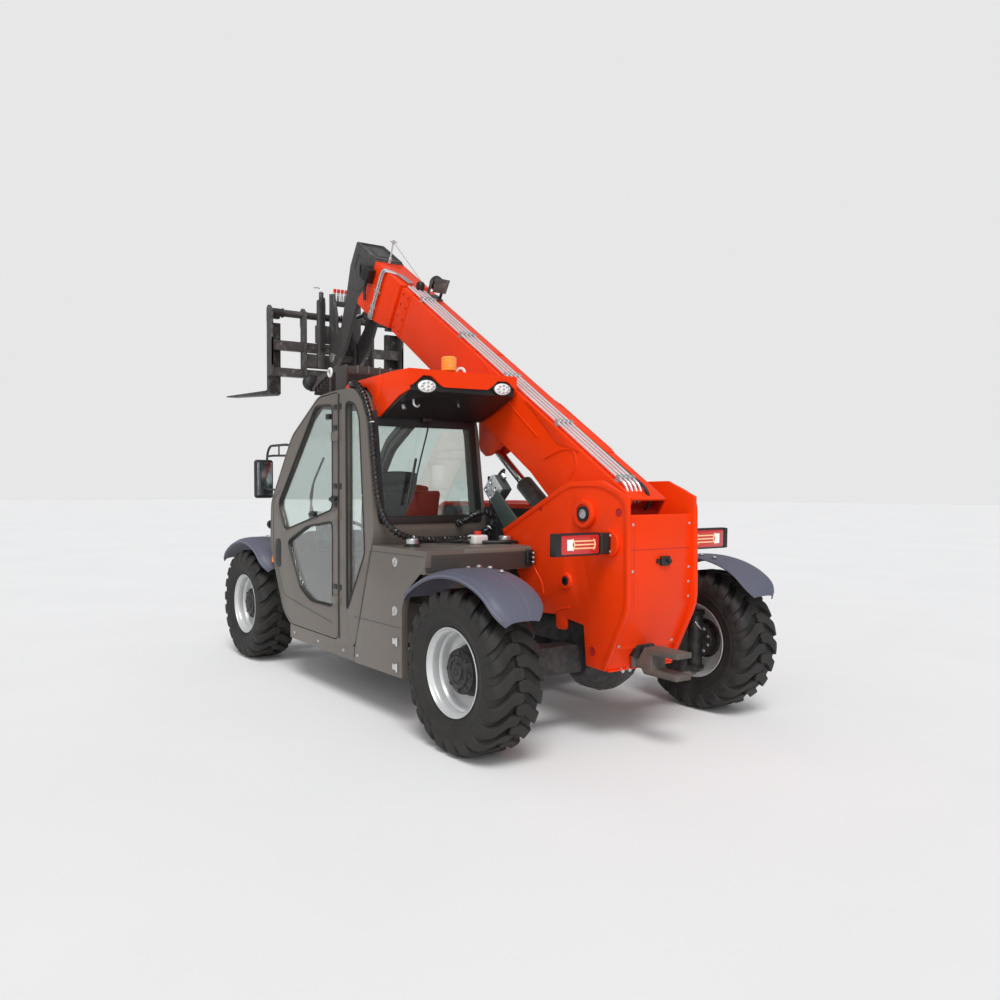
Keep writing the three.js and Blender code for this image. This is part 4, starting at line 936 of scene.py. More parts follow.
def tail_lamp():
    """The left lamp: black housing, red lens with a white block and three light guides, and its mount."""
    front = LAMP_BACK - 0.045
    lens_in, lens_out = 0.345, 0.592
    middle = (LAMP_LOW + LAMP_TOP) / 2
    housing = joined([
        block((lens_in - 0.012, front, LAMP_LOW), (LAMP_OUT, LAMP_BACK - 0.008, LAMP_TOP), 0.006, 3),
        block((LAMP_OUT - 0.036, LAMP_BACK - 0.014, LAMP_LOW + 0.002),
              (LAMP_OUT - 0.001, LAMP_BACK, LAMP_TOP - 0.002), 0.003),
        *[block((LAMP_OUT - 0.034, LAMP_BACK - 0.003, LAMP_LOW + 0.012 + 0.015 * k),
                (LAMP_OUT - 0.004, LAMP_BACK + 0.001, LAMP_LOW + 0.019 + 0.015 * k), 0.001)
                for k in range(7)],
    ])
    mount = joined([
        block((LAMP_IN, front - 0.01, LAMP_LOW + 0.004),
              (lens_in - 0.01, LAMP_BACK + 0.004, LAMP_TOP - 0.004), 0.008, 3),
        block((LAMP_IN + 0.022, LAMP_BACK, LAMP_LOW + 0.02),
              (lens_in - 0.034, LAMP_BACK + 0.008, LAMP_TOP - 0.02), 0.003),
    ])
    inset = oblong(lens_in, LAMP_LOW + 0.01, lens_out, LAMP_TOP - 0.01)
    red = plate(inset, -LAMP_BACK - 0.001, -LAMP_BACK + 0.02, END_ON, corner=0.012, edge=0.003)
    rim = plate(
        oblong(lens_in - 0.006, LAMP_LOW + 0.004, lens_out + 0.006, LAMP_TOP - 0.004), -LAMP_BACK + 0.002,
        -LAMP_BACK + 0.02, END_ON, corner=0.014)
    white = plate(
        [(0.515, middle - 0.027), (0.556, middle - 0.027), (0.556, middle + 0.027), (0.515, middle + 0.027),
         (0.523, middle)], -LAMP_BACK - 0.0035, -LAMP_BACK + 0.004, END_ON, edge=0.001)
    guides = joined([
        *[block((0.372, LAMP_BACK, middle + dz - 0.0035), (0.512, LAMP_BACK + 0.003, middle + dz + 0.0035),
                0.001)
          for dz in (-0.018, 0, 0.018)],
        *[tube([(x, LAMP_BACK + 0.001, middle - dz), (x - 0.014, LAMP_BACK + 0.001, middle),
                (x, LAMP_BACK + 0.001, middle + dz)], 0.003, 0.004)
          for x, dz in ((0.384, 0.027), (0.52, 0.03))],
    ])
    heads = bolts([(0.272, LAMP_BACK + 0.004, LAMP_LOW + 0.018),
                   (0.272, LAMP_BACK + 0.004, LAMP_TOP - 0.018)], BACK, 0.0065)
    return {"plastic": joined([housing, mount, rim]), "red": red, "white_lens": white, "guide": guides,
            "zinc": heads}


def tail_lamps():
    names = {"plastic": "case", "red": "lens", "white_lens": "white_block", "guide": "light_guides",
             "zinc": "bolts"}
    for finish, side, part in both_sides(tail_lamp()):
        stands_for = (f"tail_lamp_{side}",) if finish == "plastic" else ()
        hold(part, f"tail_lamp_{side}_{names[finish]}", finish, "chassis", MACHINE, 35, stands_for)


# ---------------- boom tower and rear cover

TOWER_X = 0.25
TOWER_RIM = [
    (-0.56, 1.07), (0.003, 1.35), (0.256, 1.356), (0.434, 1.28), (0.447, 0.732), (0.29, 0.405),
]


def ribbon(path, width, low, high, stand):
    """A flat strip of that width along an open path."""
    points = [Vector((u, v, 0)) for u, v in path]
    left_edge, right_edge = [], []
    for i, point in enumerate(points):
        before = (point - points[i - 1]).normalized() if i else None
        after = (points[i + 1] - point).normalized() if i + 1 < len(points) else None
        along = ((before or after) + (after or before)).normalized()
        across = Vector((-along.y, along.x, 0))
        slant = 1 / max(0.4, along.dot(after or before))
        left_edge.append(point + across * width / 2 * slant)
        right_edge.append(point - across * width / 2 * slant)
    outline = [(p.x, p.y) for p in left_edge + right_edge[::-1]]
    return plate(outline, low, high, stand, edge=min(0.0025, (high - low) / 3))


def tower_fittings():
    """Folded rims, pin bosses, holes in painted shade and welds of the left side plate."""
    rim_path = [(p.x, p.y) for p in eased([Vector((u, v, 0)) for u, v in TOWER_RIM], 0.07, 6)]
    orange = [ribbon(rim_path, 0.028, TOWER_X - 0.004, TOWER_X + 0.0055, SIDE_ON)]
    orange.append(turned([(0.074, 0), (0.078, 0.01), (0.076, 0.024), (0.068, 0.03), (0.052, 0.03),
                          (0.049, 0.018)], 48,
                         (TOWER_X - 0.002, 0.145, 1.197), LEFT))
    orange.append(turned([(0.044, 0), (0.046, 0.006), (0.041, 0.0165), (0.028, 0.0175), (0.027, 0.01)], 40,
                         (TOWER_X - 0.002, 0, 0.83), LEFT))
    orange.append(turned([(0.07, 0), (0.07, 0.02), (0.064, 0.024), (0.04, 0.024)], 40,
                         (TOWER_X - 0.002, 0.33, 1.055), LEFT))
    orange.append(plate([(-0.085, 0.56), (-0.004, 0.56), (-0.002, 0.66), (-0.087, 0.655)], TOWER_X - 0.018,
                        TOWER_X - 0.001,
                        SIDE_ON, corner=0.02))
    orange.append(tube([(TOWER_X, -0.09, 0.652), (TOWER_X, -0.06, 0.668), (TOWER_X, 0.022, 0.69)], 0.0055,
                       0.01))
    orange.append(tube([(TOWER_X, -0.3, 0.905), (TOWER_X, -0.205, 0.8), (TOWER_X, -0.19, 0.74)], 0.004,
                       0.05))
    dark = [turned([(0.042, 0.0), (0.04, 0.009), (0.028, 0.01), (0.026, 0.002)], 40,
                   (TOWER_X + 0.0203, 0.145, 1.197), LEFT),
            turned([(0.025, 0.0), (0.0245, 0.004), (0.016, 0.0045)], 32, (TOWER_X + 0.011, 0, 0.83), LEFT)]
    pin = [turned([(0.026, 0.0), (0.025, 0.006), (0.014, 0.007), (0.012, 0.003), (0.006, 0.003)], 32,
                  (TOWER_X + 0.0215, 0.145, 1.197), LEFT),
           bolt_at((TOWER_X + 0.026, 0.145, 1.197), LEFT, 0.007),
           turned([(0.016, 0.0), (0.015, 0.003), (0.006, 0.003)], 24, (TOWER_X + 0.0125, 0, 0.83), LEFT)]
    # The holes are rings in the shaded orange: painted shade.
    bores = [turned([(radius, 0.0), (radius, 0.0022), (radius * 0.82, 0.0024), (radius * 0.8, 0.0006)], 28,
                    (TOWER_X - 0.0005, back, up), LEFT)
             for back, up, radius in ((0.384, 1.212, 0.022), (0.205, 0.481, 0.024), (-0.225, 1.213, 0.013))]
    return {"orange": joined(orange), "hose": joined(dark), "zinc": joined(pin),
            "orange_shade": joined(bores)}


def bolt_at(spot, axis, size=0.009):
    return bolts([spot], axis, size)


def tower_dress():
    names = {"orange": "rims", "hose": "seals", "zinc": "pins", "orange_shade": "holes"}
    for finish, side, part in both_sides(tower_fittings()):
        hold(part, f"tower_{side}_{names[finish]}", finish, "chassis")


COVER_BACK = 0.43


def cover_dress():
    """The rear cover's seams, bolts, latch and lip, and the studs of the tow hitch with a black plate of
    painted shade in its slot.
    """
    seams = joined([
        block((-0.224, COVER_BACK - 0.002, 1.0205), (0.224, COVER_BACK + 0.0008, 1.024), 0.0005, 1),
        block((0.185, COVER_BACK - 0.002, 0.74), (0.1875, COVER_BACK + 0.0008, 1.185), 0.0005, 1),
    ])
    hold(seams, "rear_cover_seams", "orange_shade", "chassis")
    heads = [(0.196, COVER_BACK, 0.915), (-0.215, COVER_BACK, 0.92), (-0.215, COVER_BACK, 0.842),
             (-0.215, COVER_BACK, 0.765),
             (0.196, COVER_BACK, 1.15), (-0.215, COVER_BACK, 1.15)]
    slope = Vector((0, 0.28, -0.13)).normalized()
    lower = [(x, 0.43 - (0.73 - z) * 0.13 / 0.28 + 0.001, z) for x, z in ((0.188, 0.52), (-0.2, 0.52))]
    hold([bolts(heads, BACK, 0.0055), bolts(lower, slope, 0.0065)], "rear_cover_bolts", "zinc", "chassis")
    latch = joined([
        block((-0.06, COVER_BACK, 0.935), (0.004, COVER_BACK + 0.018, 0.985), 0.006, 3),
        turned([(0.013, 0), (0.013, 0.012), (0.011, 0.016), (0.004, 0.013)], 24,
               (-0.045, COVER_BACK + 0.014, 0.96), BACK),
        block((0.006, COVER_BACK, 0.948), (0.03, COVER_BACK + 0.01, 0.972), 0.003),
    ])
    hold(latch, "rear_cover_latch", "plastic", "chassis")
    lip = joined([
        block((-0.231, 0.284, 0.386), (0.231, 0.312, 0.394), 0.002),
        plate(oblong(-0.231, 0.5, 0.231, 0.52), -0.332, -0.33, END_ON, edge=0.0005),
    ])
    hold(lip, "rear_cover_lip", "orange", "chassis")
    # A black plate over the hitch's slot: painted shade where the shank sits.
    slot = plate([(-0.085, 0.455), (0.085, 0.455), (0.062, 0.515), (-0.062, 0.515)], -0.343, -0.3, END_ON,
                 corner=0.01)
    hold(slot, "hitch_slot_painted_shade", "black", "chassis")
    studs = joined([rod((x, 0.27, 0.398), (x, 0.316, 0.382), 0.01, 16) for x in (0.135, 0.085, -0.1)])
    hold(studs, "hitch_studs", "zinc", "chassis")


def boom_tail():
    """The recess at the boom's tail, which the pipes and the cable run into, lined with painted shade."""
    # Sides, floor, wall and end of the recess in the shaded orange: painted shade.
    shaded_sides = joined([
        boom_plate(oblong(-0.131, 0.092, -0.062, 0.168), 0.1125, 0.1148, edge=0.0006),
        boom_plate(oblong(-0.131, 0.092, -0.062, 0.168), -0.1148, -0.1125, edge=0.0006),
    ])
    floor = block((-0.112, 0.0925, -0.1305), (0.112, 0.094, -0.062), 0.0003, 1)
    wall = block((-0.112, 0.092, -0.064), (0.112, 0.168, -0.0618), 0.0003, 1)
    end = block((-0.112, -0.13, -0.1345), (0.112, 0.0925, -0.133), 0.0003, 1)
    hold([shaded_sides, floor, wall, end], "boom_tail_painted_shade", "orange_shade", "boom_outer", BOOM)


# ---------------- roof

ROOF_TOP = 1.99
HOOD_BACK = -0.59
HOOD_FRONT = -1.36
HOOD_LEFT = 0.895
HOOD_RIGHT = 0.14
LAMP_SPOTS = ((0.774, 1.905), (0.245, 1.919))


def wavy_lip():
    """The rear edge of the roof hood: it arches over the two lamps and dips between them."""
    low = [(HOOD_RIGHT + 0.003, 1.895)]
    for k in range(61):
        x = HOOD_RIGHT + (HOOD_LEFT - HOOD_RIGHT) * k / 60
        rise = max(0.5 + 0.5 * cos(min(abs(x - spot) / 0.125, 1) * pi) for spot, _ in LAMP_SPOTS)
        low.append((x, 1.905 - 0.012 * (x - 0.14) + 0.068 * rise))
    low.append((HOOD_LEFT - 0.003, 1.87))
    return [(HOOD_LEFT - 0.003, ROOF_TOP - 0.004), (HOOD_RIGHT + 0.003, ROOF_TOP - 0.004), *low]


def roof_hood():
    """The orange visor: top skin, wavy rear lip, faceted left cheek and the right return."""
    top = plate([
        (HOOD_FRONT, 1.9245), (HOOD_BACK, 1.955), (HOOD_BACK, ROOF_TOP), (-0.8, ROOF_TOP + 0.0),
        (HOOD_FRONT + 0.04, ROOF_TOP - 0.02), (HOOD_FRONT, ROOF_TOP - 0.04),
    ], HOOD_RIGHT, HOOD_LEFT, SIDE_ON, edge=0.004)
    lip = plate(wavy_lip(), -HOOD_BACK - 0.0015, -HOOD_BACK + 0.016, END_ON, edge=0.003)
    cheek = plate([
        (-1.3, 1.932), (-1.08, 1.928), (-1.003, 1.862), (-0.985, 1.765), (-0.93, 1.74), (-0.7, 1.845),
        (HOOD_BACK, 1.872), (HOOD_BACK, 1.975), (-1.3, 1.965),
    ], HOOD_LEFT - 0.012, HOOD_LEFT + 0.0015, SIDE_ON, edge=0.003)
    fold = plate([(-1.003, 1.87), (-0.985, 1.765), (-0.86, 1.99 - 0.02), (-1.05, 1.985 - 0.02)], HOOD_LEFT,
                 HOOD_LEFT + 0.004,
                 SIDE_ON, edge=0.0015)
    right = plate([(-1.0, 1.925), (-0.86, 1.83), (-0.65, 1.865), (HOOD_BACK, 1.9), (HOOD_BACK, 1.985),
                   (-1.0, 1.985)],
                  HOOD_RIGHT, HOOD_RIGHT + 0.01, SIDE_ON, edge=0.002)
    hold([top, lip, cheek, fold, right], "roof_hood_shell", "orange", "chassis", stands_for=("roof_hood",))
    soffit = plate([
        (-0.607, 1.95), (-0.6, 1.872), (-0.64, 1.85), (-0.905, 1.742), (-0.99, 1.735), (-1.055, 1.9),
        (-1.055, 1.95),
    ], HOOD_RIGHT + 0.012, HOOD_LEFT - 0.014, SIDE_ON, edge=0.004)
    hold(soffit, "roof_soffit", "plastic", "chassis")
    fittings = joined([
        tube([(0.8, -0.7, 1.85), (0.8, -0.69, 1.8), (0.78, -0.685, 1.785), (0.765, -0.688, 1.8)], 0.007,
             0.01),
        rod((0.84, -0.74, 1.8), (0.84, -0.725, 1.775), 0.012, 18),
        tube([(0.48, -0.72, 1.835), (0.48, -0.705, 1.8)], 0.006, 0.01),
    ])
    hold(fittings, "wiper_fittings", "zinc", "chassis", smooth=40)
    for side, (x, z) in zip(("left", "right"), LAMP_SPOTS):
        round_case = turned([(0.001, 0), (0.052, 0), (0.06, 0.02), (0.06, 0.04), (0.056, 0.046),
                             (0.053, 0.046), (0.051, 0.036),
                             (0.001, 0.034)], 40)
        glass = turned([(0.051, 0), (0.051, 0.006), (0.046, 0.012), (0.03, 0.0155), (0.001, 0.0165)], 40)
        dots = copied(turned([(0.0095, 0), (0.0095, 0.004), (0.007, 0.006)], 12),
                      [Matrix.Translation((0.032 * cos(k * pi / 4), 0.032 * sin(k * pi / 4), 0.0135))
                       for k in range(8)]
                      + [Matrix.Translation((0, 0, 0.015))])
        squashed = Matrix.Diagonal((1.17, 0.68, 1, 1))
        stand = pointing((x, HOOD_BACK - 0.044, z - 0.004), Vector((0, 1, -0.12)))
        for part, name, finish, lift in ((round_case, "case", "plastic", 0.0),
                                         (glass, "lens", "white_lens", 0.036),
                                         (dots, "diodes", "zinc", 0.036)):
            settle(part, stand @ Matrix.Translation((0, 0, lift)) @ squashed)
            hold(part, f"work_lamp_{side}_{name}", finish, "chassis")


def roof_guard():
    """Dark slats between arched side rails, with pale spacers and two lifting rings."""
    rails = [plate([
        (-1.54, 1.92), (-1.4, 1.928), (-1.385, 2.1), (-1.64, 2.095), (-1.8, 2.05), (-1.905, 1.99),
        (-1.885, 1.972), (-1.78, 2.02), (-1.64, 2.06), (-1.54, 2.065),
    ], x, x + 0.016, SIDE_ON, corner=0.02, edge=0.003) for x in (0.23, 0.858)]
    slats = []
    for k in range(11):
        back = -1.4 - 0.048 * k
        up = 2.093 if back > -1.64 else 2.093 - (-1.64 - back) * 0.4
        slats.append(block((0.242, back - 0.006, up - 0.05), (0.862, back + 0.006, up), 0.002))
    hold([*rails, *slats], "roof_guard_slats", "guard_bar", "chassis", stands_for=("roof_guard",))
    spacers = []
    for k in range(1, 8):
        x = 0.23 + 0.08 * k
        spacers.append(block((x - 0.002, -1.64, 2.058), (x + 0.002, -1.386, 2.086), 0.0008, 1))
        spacers.append(block((x - 0.005, -1.3995, 2.05), (x + 0.005, -1.384, 2.098), 0.001, 1))
    hold(spacers, "roof_guard_spacers", "cab", "chassis")
    ring = turned([(0.03, -0.006), (0.02, -0.008), (0.018, 0), (0.02, 0.008), (0.03, 0.006), (0.034, 0),
                   (0.03, -0.006)], 32)
    rings = copied(ring, [pointing((0.882, -1.6, 2.068), LEFT),
                          pointing((0.43, -0.76, 2.012), LEFT + BACK * 0.6)])
    hold(rings, "lifting_rings", "tag", "chassis")
    posts = joined([block((0.874, -1.612, 1.93), (0.884, -1.588, 2.044), 0.003),
                    block((0.42, -0.775, 1.9895), (0.44, -0.745, 1.996), 0.002)])
    hold(posts, "lifting_ring_posts", "guard_bar", "chassis")


def beacon():
    """The amber beacon: base, ribbed lens and cap."""
    foot = (0.555, -0.7, ROOF_TOP + 0.0003)
    base = turned([(0.04, 0), (0.04, 0.01), (0.034, 0.014), (0.001, 0.014)], 40, foot)
    rings = [(0.034, 0.013)]
    for k in range(5):
        rings += [(0.0445, 0.017 + 0.0155 * k), (0.046, 0.0205 + 0.0155 * k), (0.046, 0.027 + 0.0155 * k),
                  (0.044, 0.03 + 0.0155 * k)]
    cap = [(0.0415, 0.094), (0.035, 0.0985), (0.001, 0.1)]
    hold(base, "beacon_base", "plastic", "chassis")
    hold(turned(rings + cap, 48, foot), "beacon_lens", "amber", "chassis", stands_for=("beacon",))


# ---------------- boom: pipes, clamps, head and nose

BOOM_HALF = 0.125
BOOM_TOP = 0.18
PIPE_RADIUS = 0.0078
PIPE_LANES = (0.098, 0.066, 0.034, 0.002)


def boom_pipes():
    """Four steel pipes along the boom's top, held by clamps, bending down into the tail."""
    above = BOOM_TOP + 0.022
    pipes = []
    for x in PIPE_LANES:
        pipes.append(tube([
            (x - 0.01, 0.118, -0.066), (x - 0.01, 0.15, -0.075), (x, above, -0.03), (x, above, 0.06),
            (x, above, 2.585),
        ], PIPE_RADIUS, 0.05, 6, 2))
    hold(pipes, "boom_pipes", "pipe", "boom_outer", BOOM, 40)
    clamps, heads = [], []
    for along in (0.035, 0.62, 1.2, 1.78, 2.36):
        clamps.append(block((-0.014, BOOM_TOP - 0.001, along - 0.014),
                            (0.112, BOOM_TOP + 0.01, along + 0.014), 0.002))
        clamps.append(block((-0.014, above + 0.004, along - 0.013), (0.112, above + 0.0135, along + 0.013),
                            0.003))
        heads += [(x, above + 0.0135, along) for x in (0.018, 0.05, 0.082)]
    hold([*clamps, bolts(heads, (0, 1, 0), 0.0075)], "boom_pipe_clamps", "zinc", "boom_outer", BOOM)
    cable = tube([
        (-0.03, 0.1, -0.11), (-0.03, 0.15, -0.12), (-0.012, above + 0.004, -0.07),
        (-0.016, above - 0.004, 0.1),
        (-0.02, BOOM_TOP + 0.01, 0.6), (-0.018, BOOM_TOP + 0.01, 1.5), (-0.02, BOOM_TOP + 0.01, 2.56),
    ], 0.0085, 0.06, 6, 2)
    hold(cable, "boom_cable", "hose", "boom_outer", BOOM, 40)


def boom_reliefs():
    """Stiffeners and pressed outlines on the boom's sides, and the collar at its mouth."""
    raised = []
    for side in (1, -1):
        low, high = sorted((side * (BOOM_HALF - 0.001), side * (BOOM_HALF + 0.0045)))
        raised.append(boom_plate([(0.34, 0.172), (0.52, 0.12), (0.92, 0.178), (0.9, 0.186), (0.36, 0.186)],
                                 low, high,
                                 corner=0.012))
        loop = [(0.33, 0.01), (0.32, 0.105), (0.385, 0.16), (0.47, 0.115), (0.58, -0.02)]
        raised.append(tube([(side * BOOM_HALF, t, s) for s, t in loop], 0.0058, 0.06))
        raised.append(tube([(side * BOOM_HALF, t, s) for s,
                            t in ((0.7, 0.06), (1.05, 0.085), (1.42, 0.178))], 0.0042, 0.2))
        raised.append(boom_plate(oblong(2.47, -0.15, 2.6, 0.182),
                                 *sorted((side * (BOOM_HALF - 0.001), side * (BOOM_HALF + 0.0035)))))
    raised.append(block((-BOOM_HALF, BOOM_TOP - 0.001, 2.47), (BOOM_HALF, BOOM_TOP + 0.004, 2.6), 0.002))
    raised.append(block((-BOOM_HALF, BOOM_TOP - 0.001, 0.33), (-0.04, BOOM_TOP + 0.0045, 0.93), 0.003))
    raised.append(block((-0.118, BOOM_TOP, 1.56), (0.118, BOOM_TOP + 0.0035, 1.6), 0.0015))
    hold(raised, "boom_reliefs", "orange", "boom_outer", BOOM, 40)
    heads = []
    for side in (1, -1):
        heads += [(side * (BOOM_HALF + 0.0035), t, s) for t in (-0.11, -0.02, 0.07, 0.145)
                  for s in (2.495, 2.575)]
    left = bolts([spot for spot in heads if spot[0] > 0], LEFT, 0.007)
    right = bolts([spot for spot in heads if spot[0] < 0], -LEFT, 0.007)
    # The mouth bolts in the shaded orange: painted shade.
    hold([left, right], "boom_mouth_bolts", "orange_shade", "boom_outer", BOOM)


def boom_head():
    """Seams, holes in painted shade, two pipes and the connector block on the head's left side."""
    face = BOOM_HALF + 0.0005
    plates = []
    for side in (1, -1):
        low, high = sorted((side * (BOOM_HALF - 0.001), side * (BOOM_HALF + 0.004)))
        plates.append(boom_plate(oblong(2.655, -0.15, 2.7, 0.184), low, high))
        plates.append(boom_plate([(2.905, 0.06), (3.1, 0.03), (3.1, 0.182), (2.905, 0.182)], low, high))
        plates.append(boom_plate([(2.89, -0.2), (3.205, -0.2), (3.19, -0.15), (3.095, -0.004),
                                  (2.905, 0.02)], low, high))
    hold(plates, "boom_head_plates", "orange", "boom_inner", BOOM)
    # The holes are rings in the shaded orange: painted shade.
    holes = [turned([(0.013, 0.0), (0.013, 0.0022), (0.01, 0.0024), (0.009, 0.0005)], 24,
                    (face + 0.0035, t, s), LEFT)
             for s, t in ((3.041, 0.097), (2.96, 0.112), (3.115, -0.093), (2.96, -0.12))]
    hold(holes, "boom_head_holes_painted_shade", "orange_shade", "boom_inner", BOOM)
    pipes = [tube([
        (x - 0.03, BOOM_TOP + 0.02, 2.66), (x - 0.01, BOOM_TOP + 0.02, 2.84 + lane),
        (face + 0.016, BOOM_TOP + 0.01, 2.93 + lane),
        (face + 0.016, BOOM_TOP - 0.03, 2.945 + lane), (face + 0.016, -0.17, 2.945 + lane),
    ], 0.009, 0.04, 6, 2) for x, lane in ((0.08, 0.0), (0.055, -0.03))]
    ends = [rod((face + 0.016, -0.15, 2.945 + lane), (face + 0.016, -0.205, 2.945 + lane), 0.014, 6)
            for lane in (0.0, -0.03)]
    grip = block((BOOM_HALF, 0.0, 2.895), (face + 0.028, 0.022, 2.962), 0.003)
    low_grip = block((BOOM_HALF, -0.125, 2.895), (face + 0.028, -0.105, 2.962), 0.003)
    hold([*pipes, *ends, grip, low_grip], "boom_head_pipes", "zinc", "boom_inner", BOOM, 40)
    connector = joined([
        block((BOOM_HALF + 0.004, 0.024, 3.05), (BOOM_HALF + 0.07, 0.13, 3.16), 0.005, 3),
        *[block((BOOM_HALF + 0.066, 0.034 + 0.018 * k, 3.06), (BOOM_HALF + 0.074, 0.044 + 0.018 * k, 3.15),
                0.002) for k in range(5)],
        tube([(BOOM_HALF + 0.04, 0.03, 3.1), (BOOM_HALF + 0.04, -0.04, 3.09),
              (BOOM_HALF + 0.035, -0.11, 3.05)], 0.011, 0.03),
        tube([(BOOM_HALF + 0.05, 0.11, 3.15), (BOOM_HALF + 0.06, 0.12, 3.22),
              (BOOM_HALF + 0.02, 0.06, 3.28), (0.11, -0.02, 3.3)], 0.009, 0.04),
    ])
    hold(connector, "boom_head_connector", "plastic", "boom_inner", BOOM, 40)


def boom_nose_dress():
    """The grey nose: framed recess in its top plate, stiffeners, the mast rod and its stay."""
    top = BOOM_TOP + 0.012
    frame_low, frame_high = 3.15, 3.47
    rim = joined([
        block((-0.121, top - 0.001, frame_low), (-0.1, top + 0.01, frame_high), 0.003),
        block((0.1, top - 0.001, frame_low), (0.121, top + 0.01, frame_high), 0.003),
        block((-0.121, top - 0.001, frame_low - 0.02), (0.121, top + 0.01, frame_low), 0.003),
        block((-0.121, top - 0.001, frame_high), (0.121, top + 0.01, frame_high + 0.016), 0.003),
        block((-0.05, top - 0.001, 3.21), (0.055, top + 0.005, 3.38), 0.004, 3),
    ])
    side = []
    for sign in (1, -1):
        low, high = sorted((sign * 0.121, sign * 0.1265))
        side.append(boom_plate([(3.12, 0.035), (3.12, 0.18), (3.48, 0.18), (3.484, 0.02), (3.44, -0.15),
                                (3.25, -0.12)], low, high,
                               holes=[[(3.205, 0.03), (3.2, 0.12), (3.4, 0.135), (3.41, 0.02),
                                       (3.33, -0.05)]],
                               corner=0.01))
    hold([rim, *side], "boom_nose_frame", "steel", "boom_inner", BOOM)
    cap = joined([turned([(0.04, 0), (0.04, 0.006), (0.03, 0.012), (0.012, 0.013)], 32,
                         (sign * 0.1225, 0, 0), LEFT * sign)
                  for sign in (1, -1)])
    pin = BOOM.inverted() @ Vector(JOINTS["fork_tilt"]["pos_m"])
    hold(cap, "nose_pin_caps", "zinc", "boom_inner", BOOM @ Matrix.Translation((0, pin.y, pin.z)))
    mast = joined([
        rod((0.02, top - 0.002, 3.085), (0.02, 0.35, 3.105), 0.0065, 14),
        rod((0.02, top - 0.002, 3.085), (0.02, top + 0.045, 3.088), 0.012, 14),
        turned([(0.006, -0.014), (0.013, -0.01), (0.013, 0.01), (0.006, 0.014), (0.0015, 0.014)], 16,
               (0.02, 0.352, 3.105), (0, 1, 0)),
        rod((-0.01, 0.352, 3.105), (0.05, 0.352, 3.105), 0.004, 10),
    ])
    hold(mast, "guide_mast", "zinc", "boom_inner", BOOM, 40)


def boom_lamp():
    """The forward work lamp on its bracket, and the measuring wire from the mast to its reel beside it."""
    middle, seat_at = -0.06, BOOM_TOP + 0.112
    bracket = joined([
        block((-0.118, BOOM_TOP + 0.003, 2.425), (-0.002, BOOM_TOP + 0.012, 2.52), 0.002),
        block((-0.118, BOOM_TOP + 0.008, 2.455), (-0.113, BOOM_TOP + 0.135, 2.49), 0.002),
        block((-0.007, BOOM_TOP + 0.008, 2.455), (-0.002, BOOM_TOP + 0.135, 2.49), 0.002),
        block((-0.118, BOOM_TOP + 0.06, 2.418), (-0.002, BOOM_TOP + 0.164, 2.424), 0.003),
    ])
    hold(bracket, "boom_lamp_bracket", "steel", "boom_outer", BOOM)
    body = turned([
        (0.001, 0.0), (0.034, 0.0), (0.046, 0.014), (0.05, 0.04), (0.052, 0.064), (0.048, 0.066),
        (0.046, 0.06), (0.001, 0.058),
    ], 36, (middle, seat_at, 2.44), (0, -0.12, 1))
    fins = [block((-0.1, seat_at - 0.04 + 0.016 * k, 2.426), (-0.02, seat_at - 0.036 + 0.016 * k, 2.452),
                  0.001) for k in range(6)]
    reel = turned([(0.001, 0), (0.03, 0), (0.034, 0.006), (0.034, 0.032), (0.03, 0.038), (0.001, 0.038)],
                  32, (0.004, BOOM_TOP + 0.046, 2.555), LEFT)
    hold([body, *fins, reel], "boom_lamp_case", "plastic", "boom_outer", BOOM, 40)
    front = turned([(0.045, 0), (0.04, 0.006), (0.001, 0.009)], 32, (middle, seat_at - 0.007, 2.498),
                   (0, -0.12, 1))
    hold(front, "boom_lamp_lens", "white_lens", "boom_outer", BOOM, 40)
    low_end, high_end = Vector((0.02, BOOM_TOP + 0.078, 2.56)), Vector((0.02, 0.352, 3.105))
    wire = tube([low_end.lerp(high_end, k / 12) for k in range(13)], 0.0022, 0.002, 1, 2)
    hold(wire, "boom_measuring_wire", "zinc", None, BOOM, 40)
    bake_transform(wire)


# ---------------- hitch and couplers

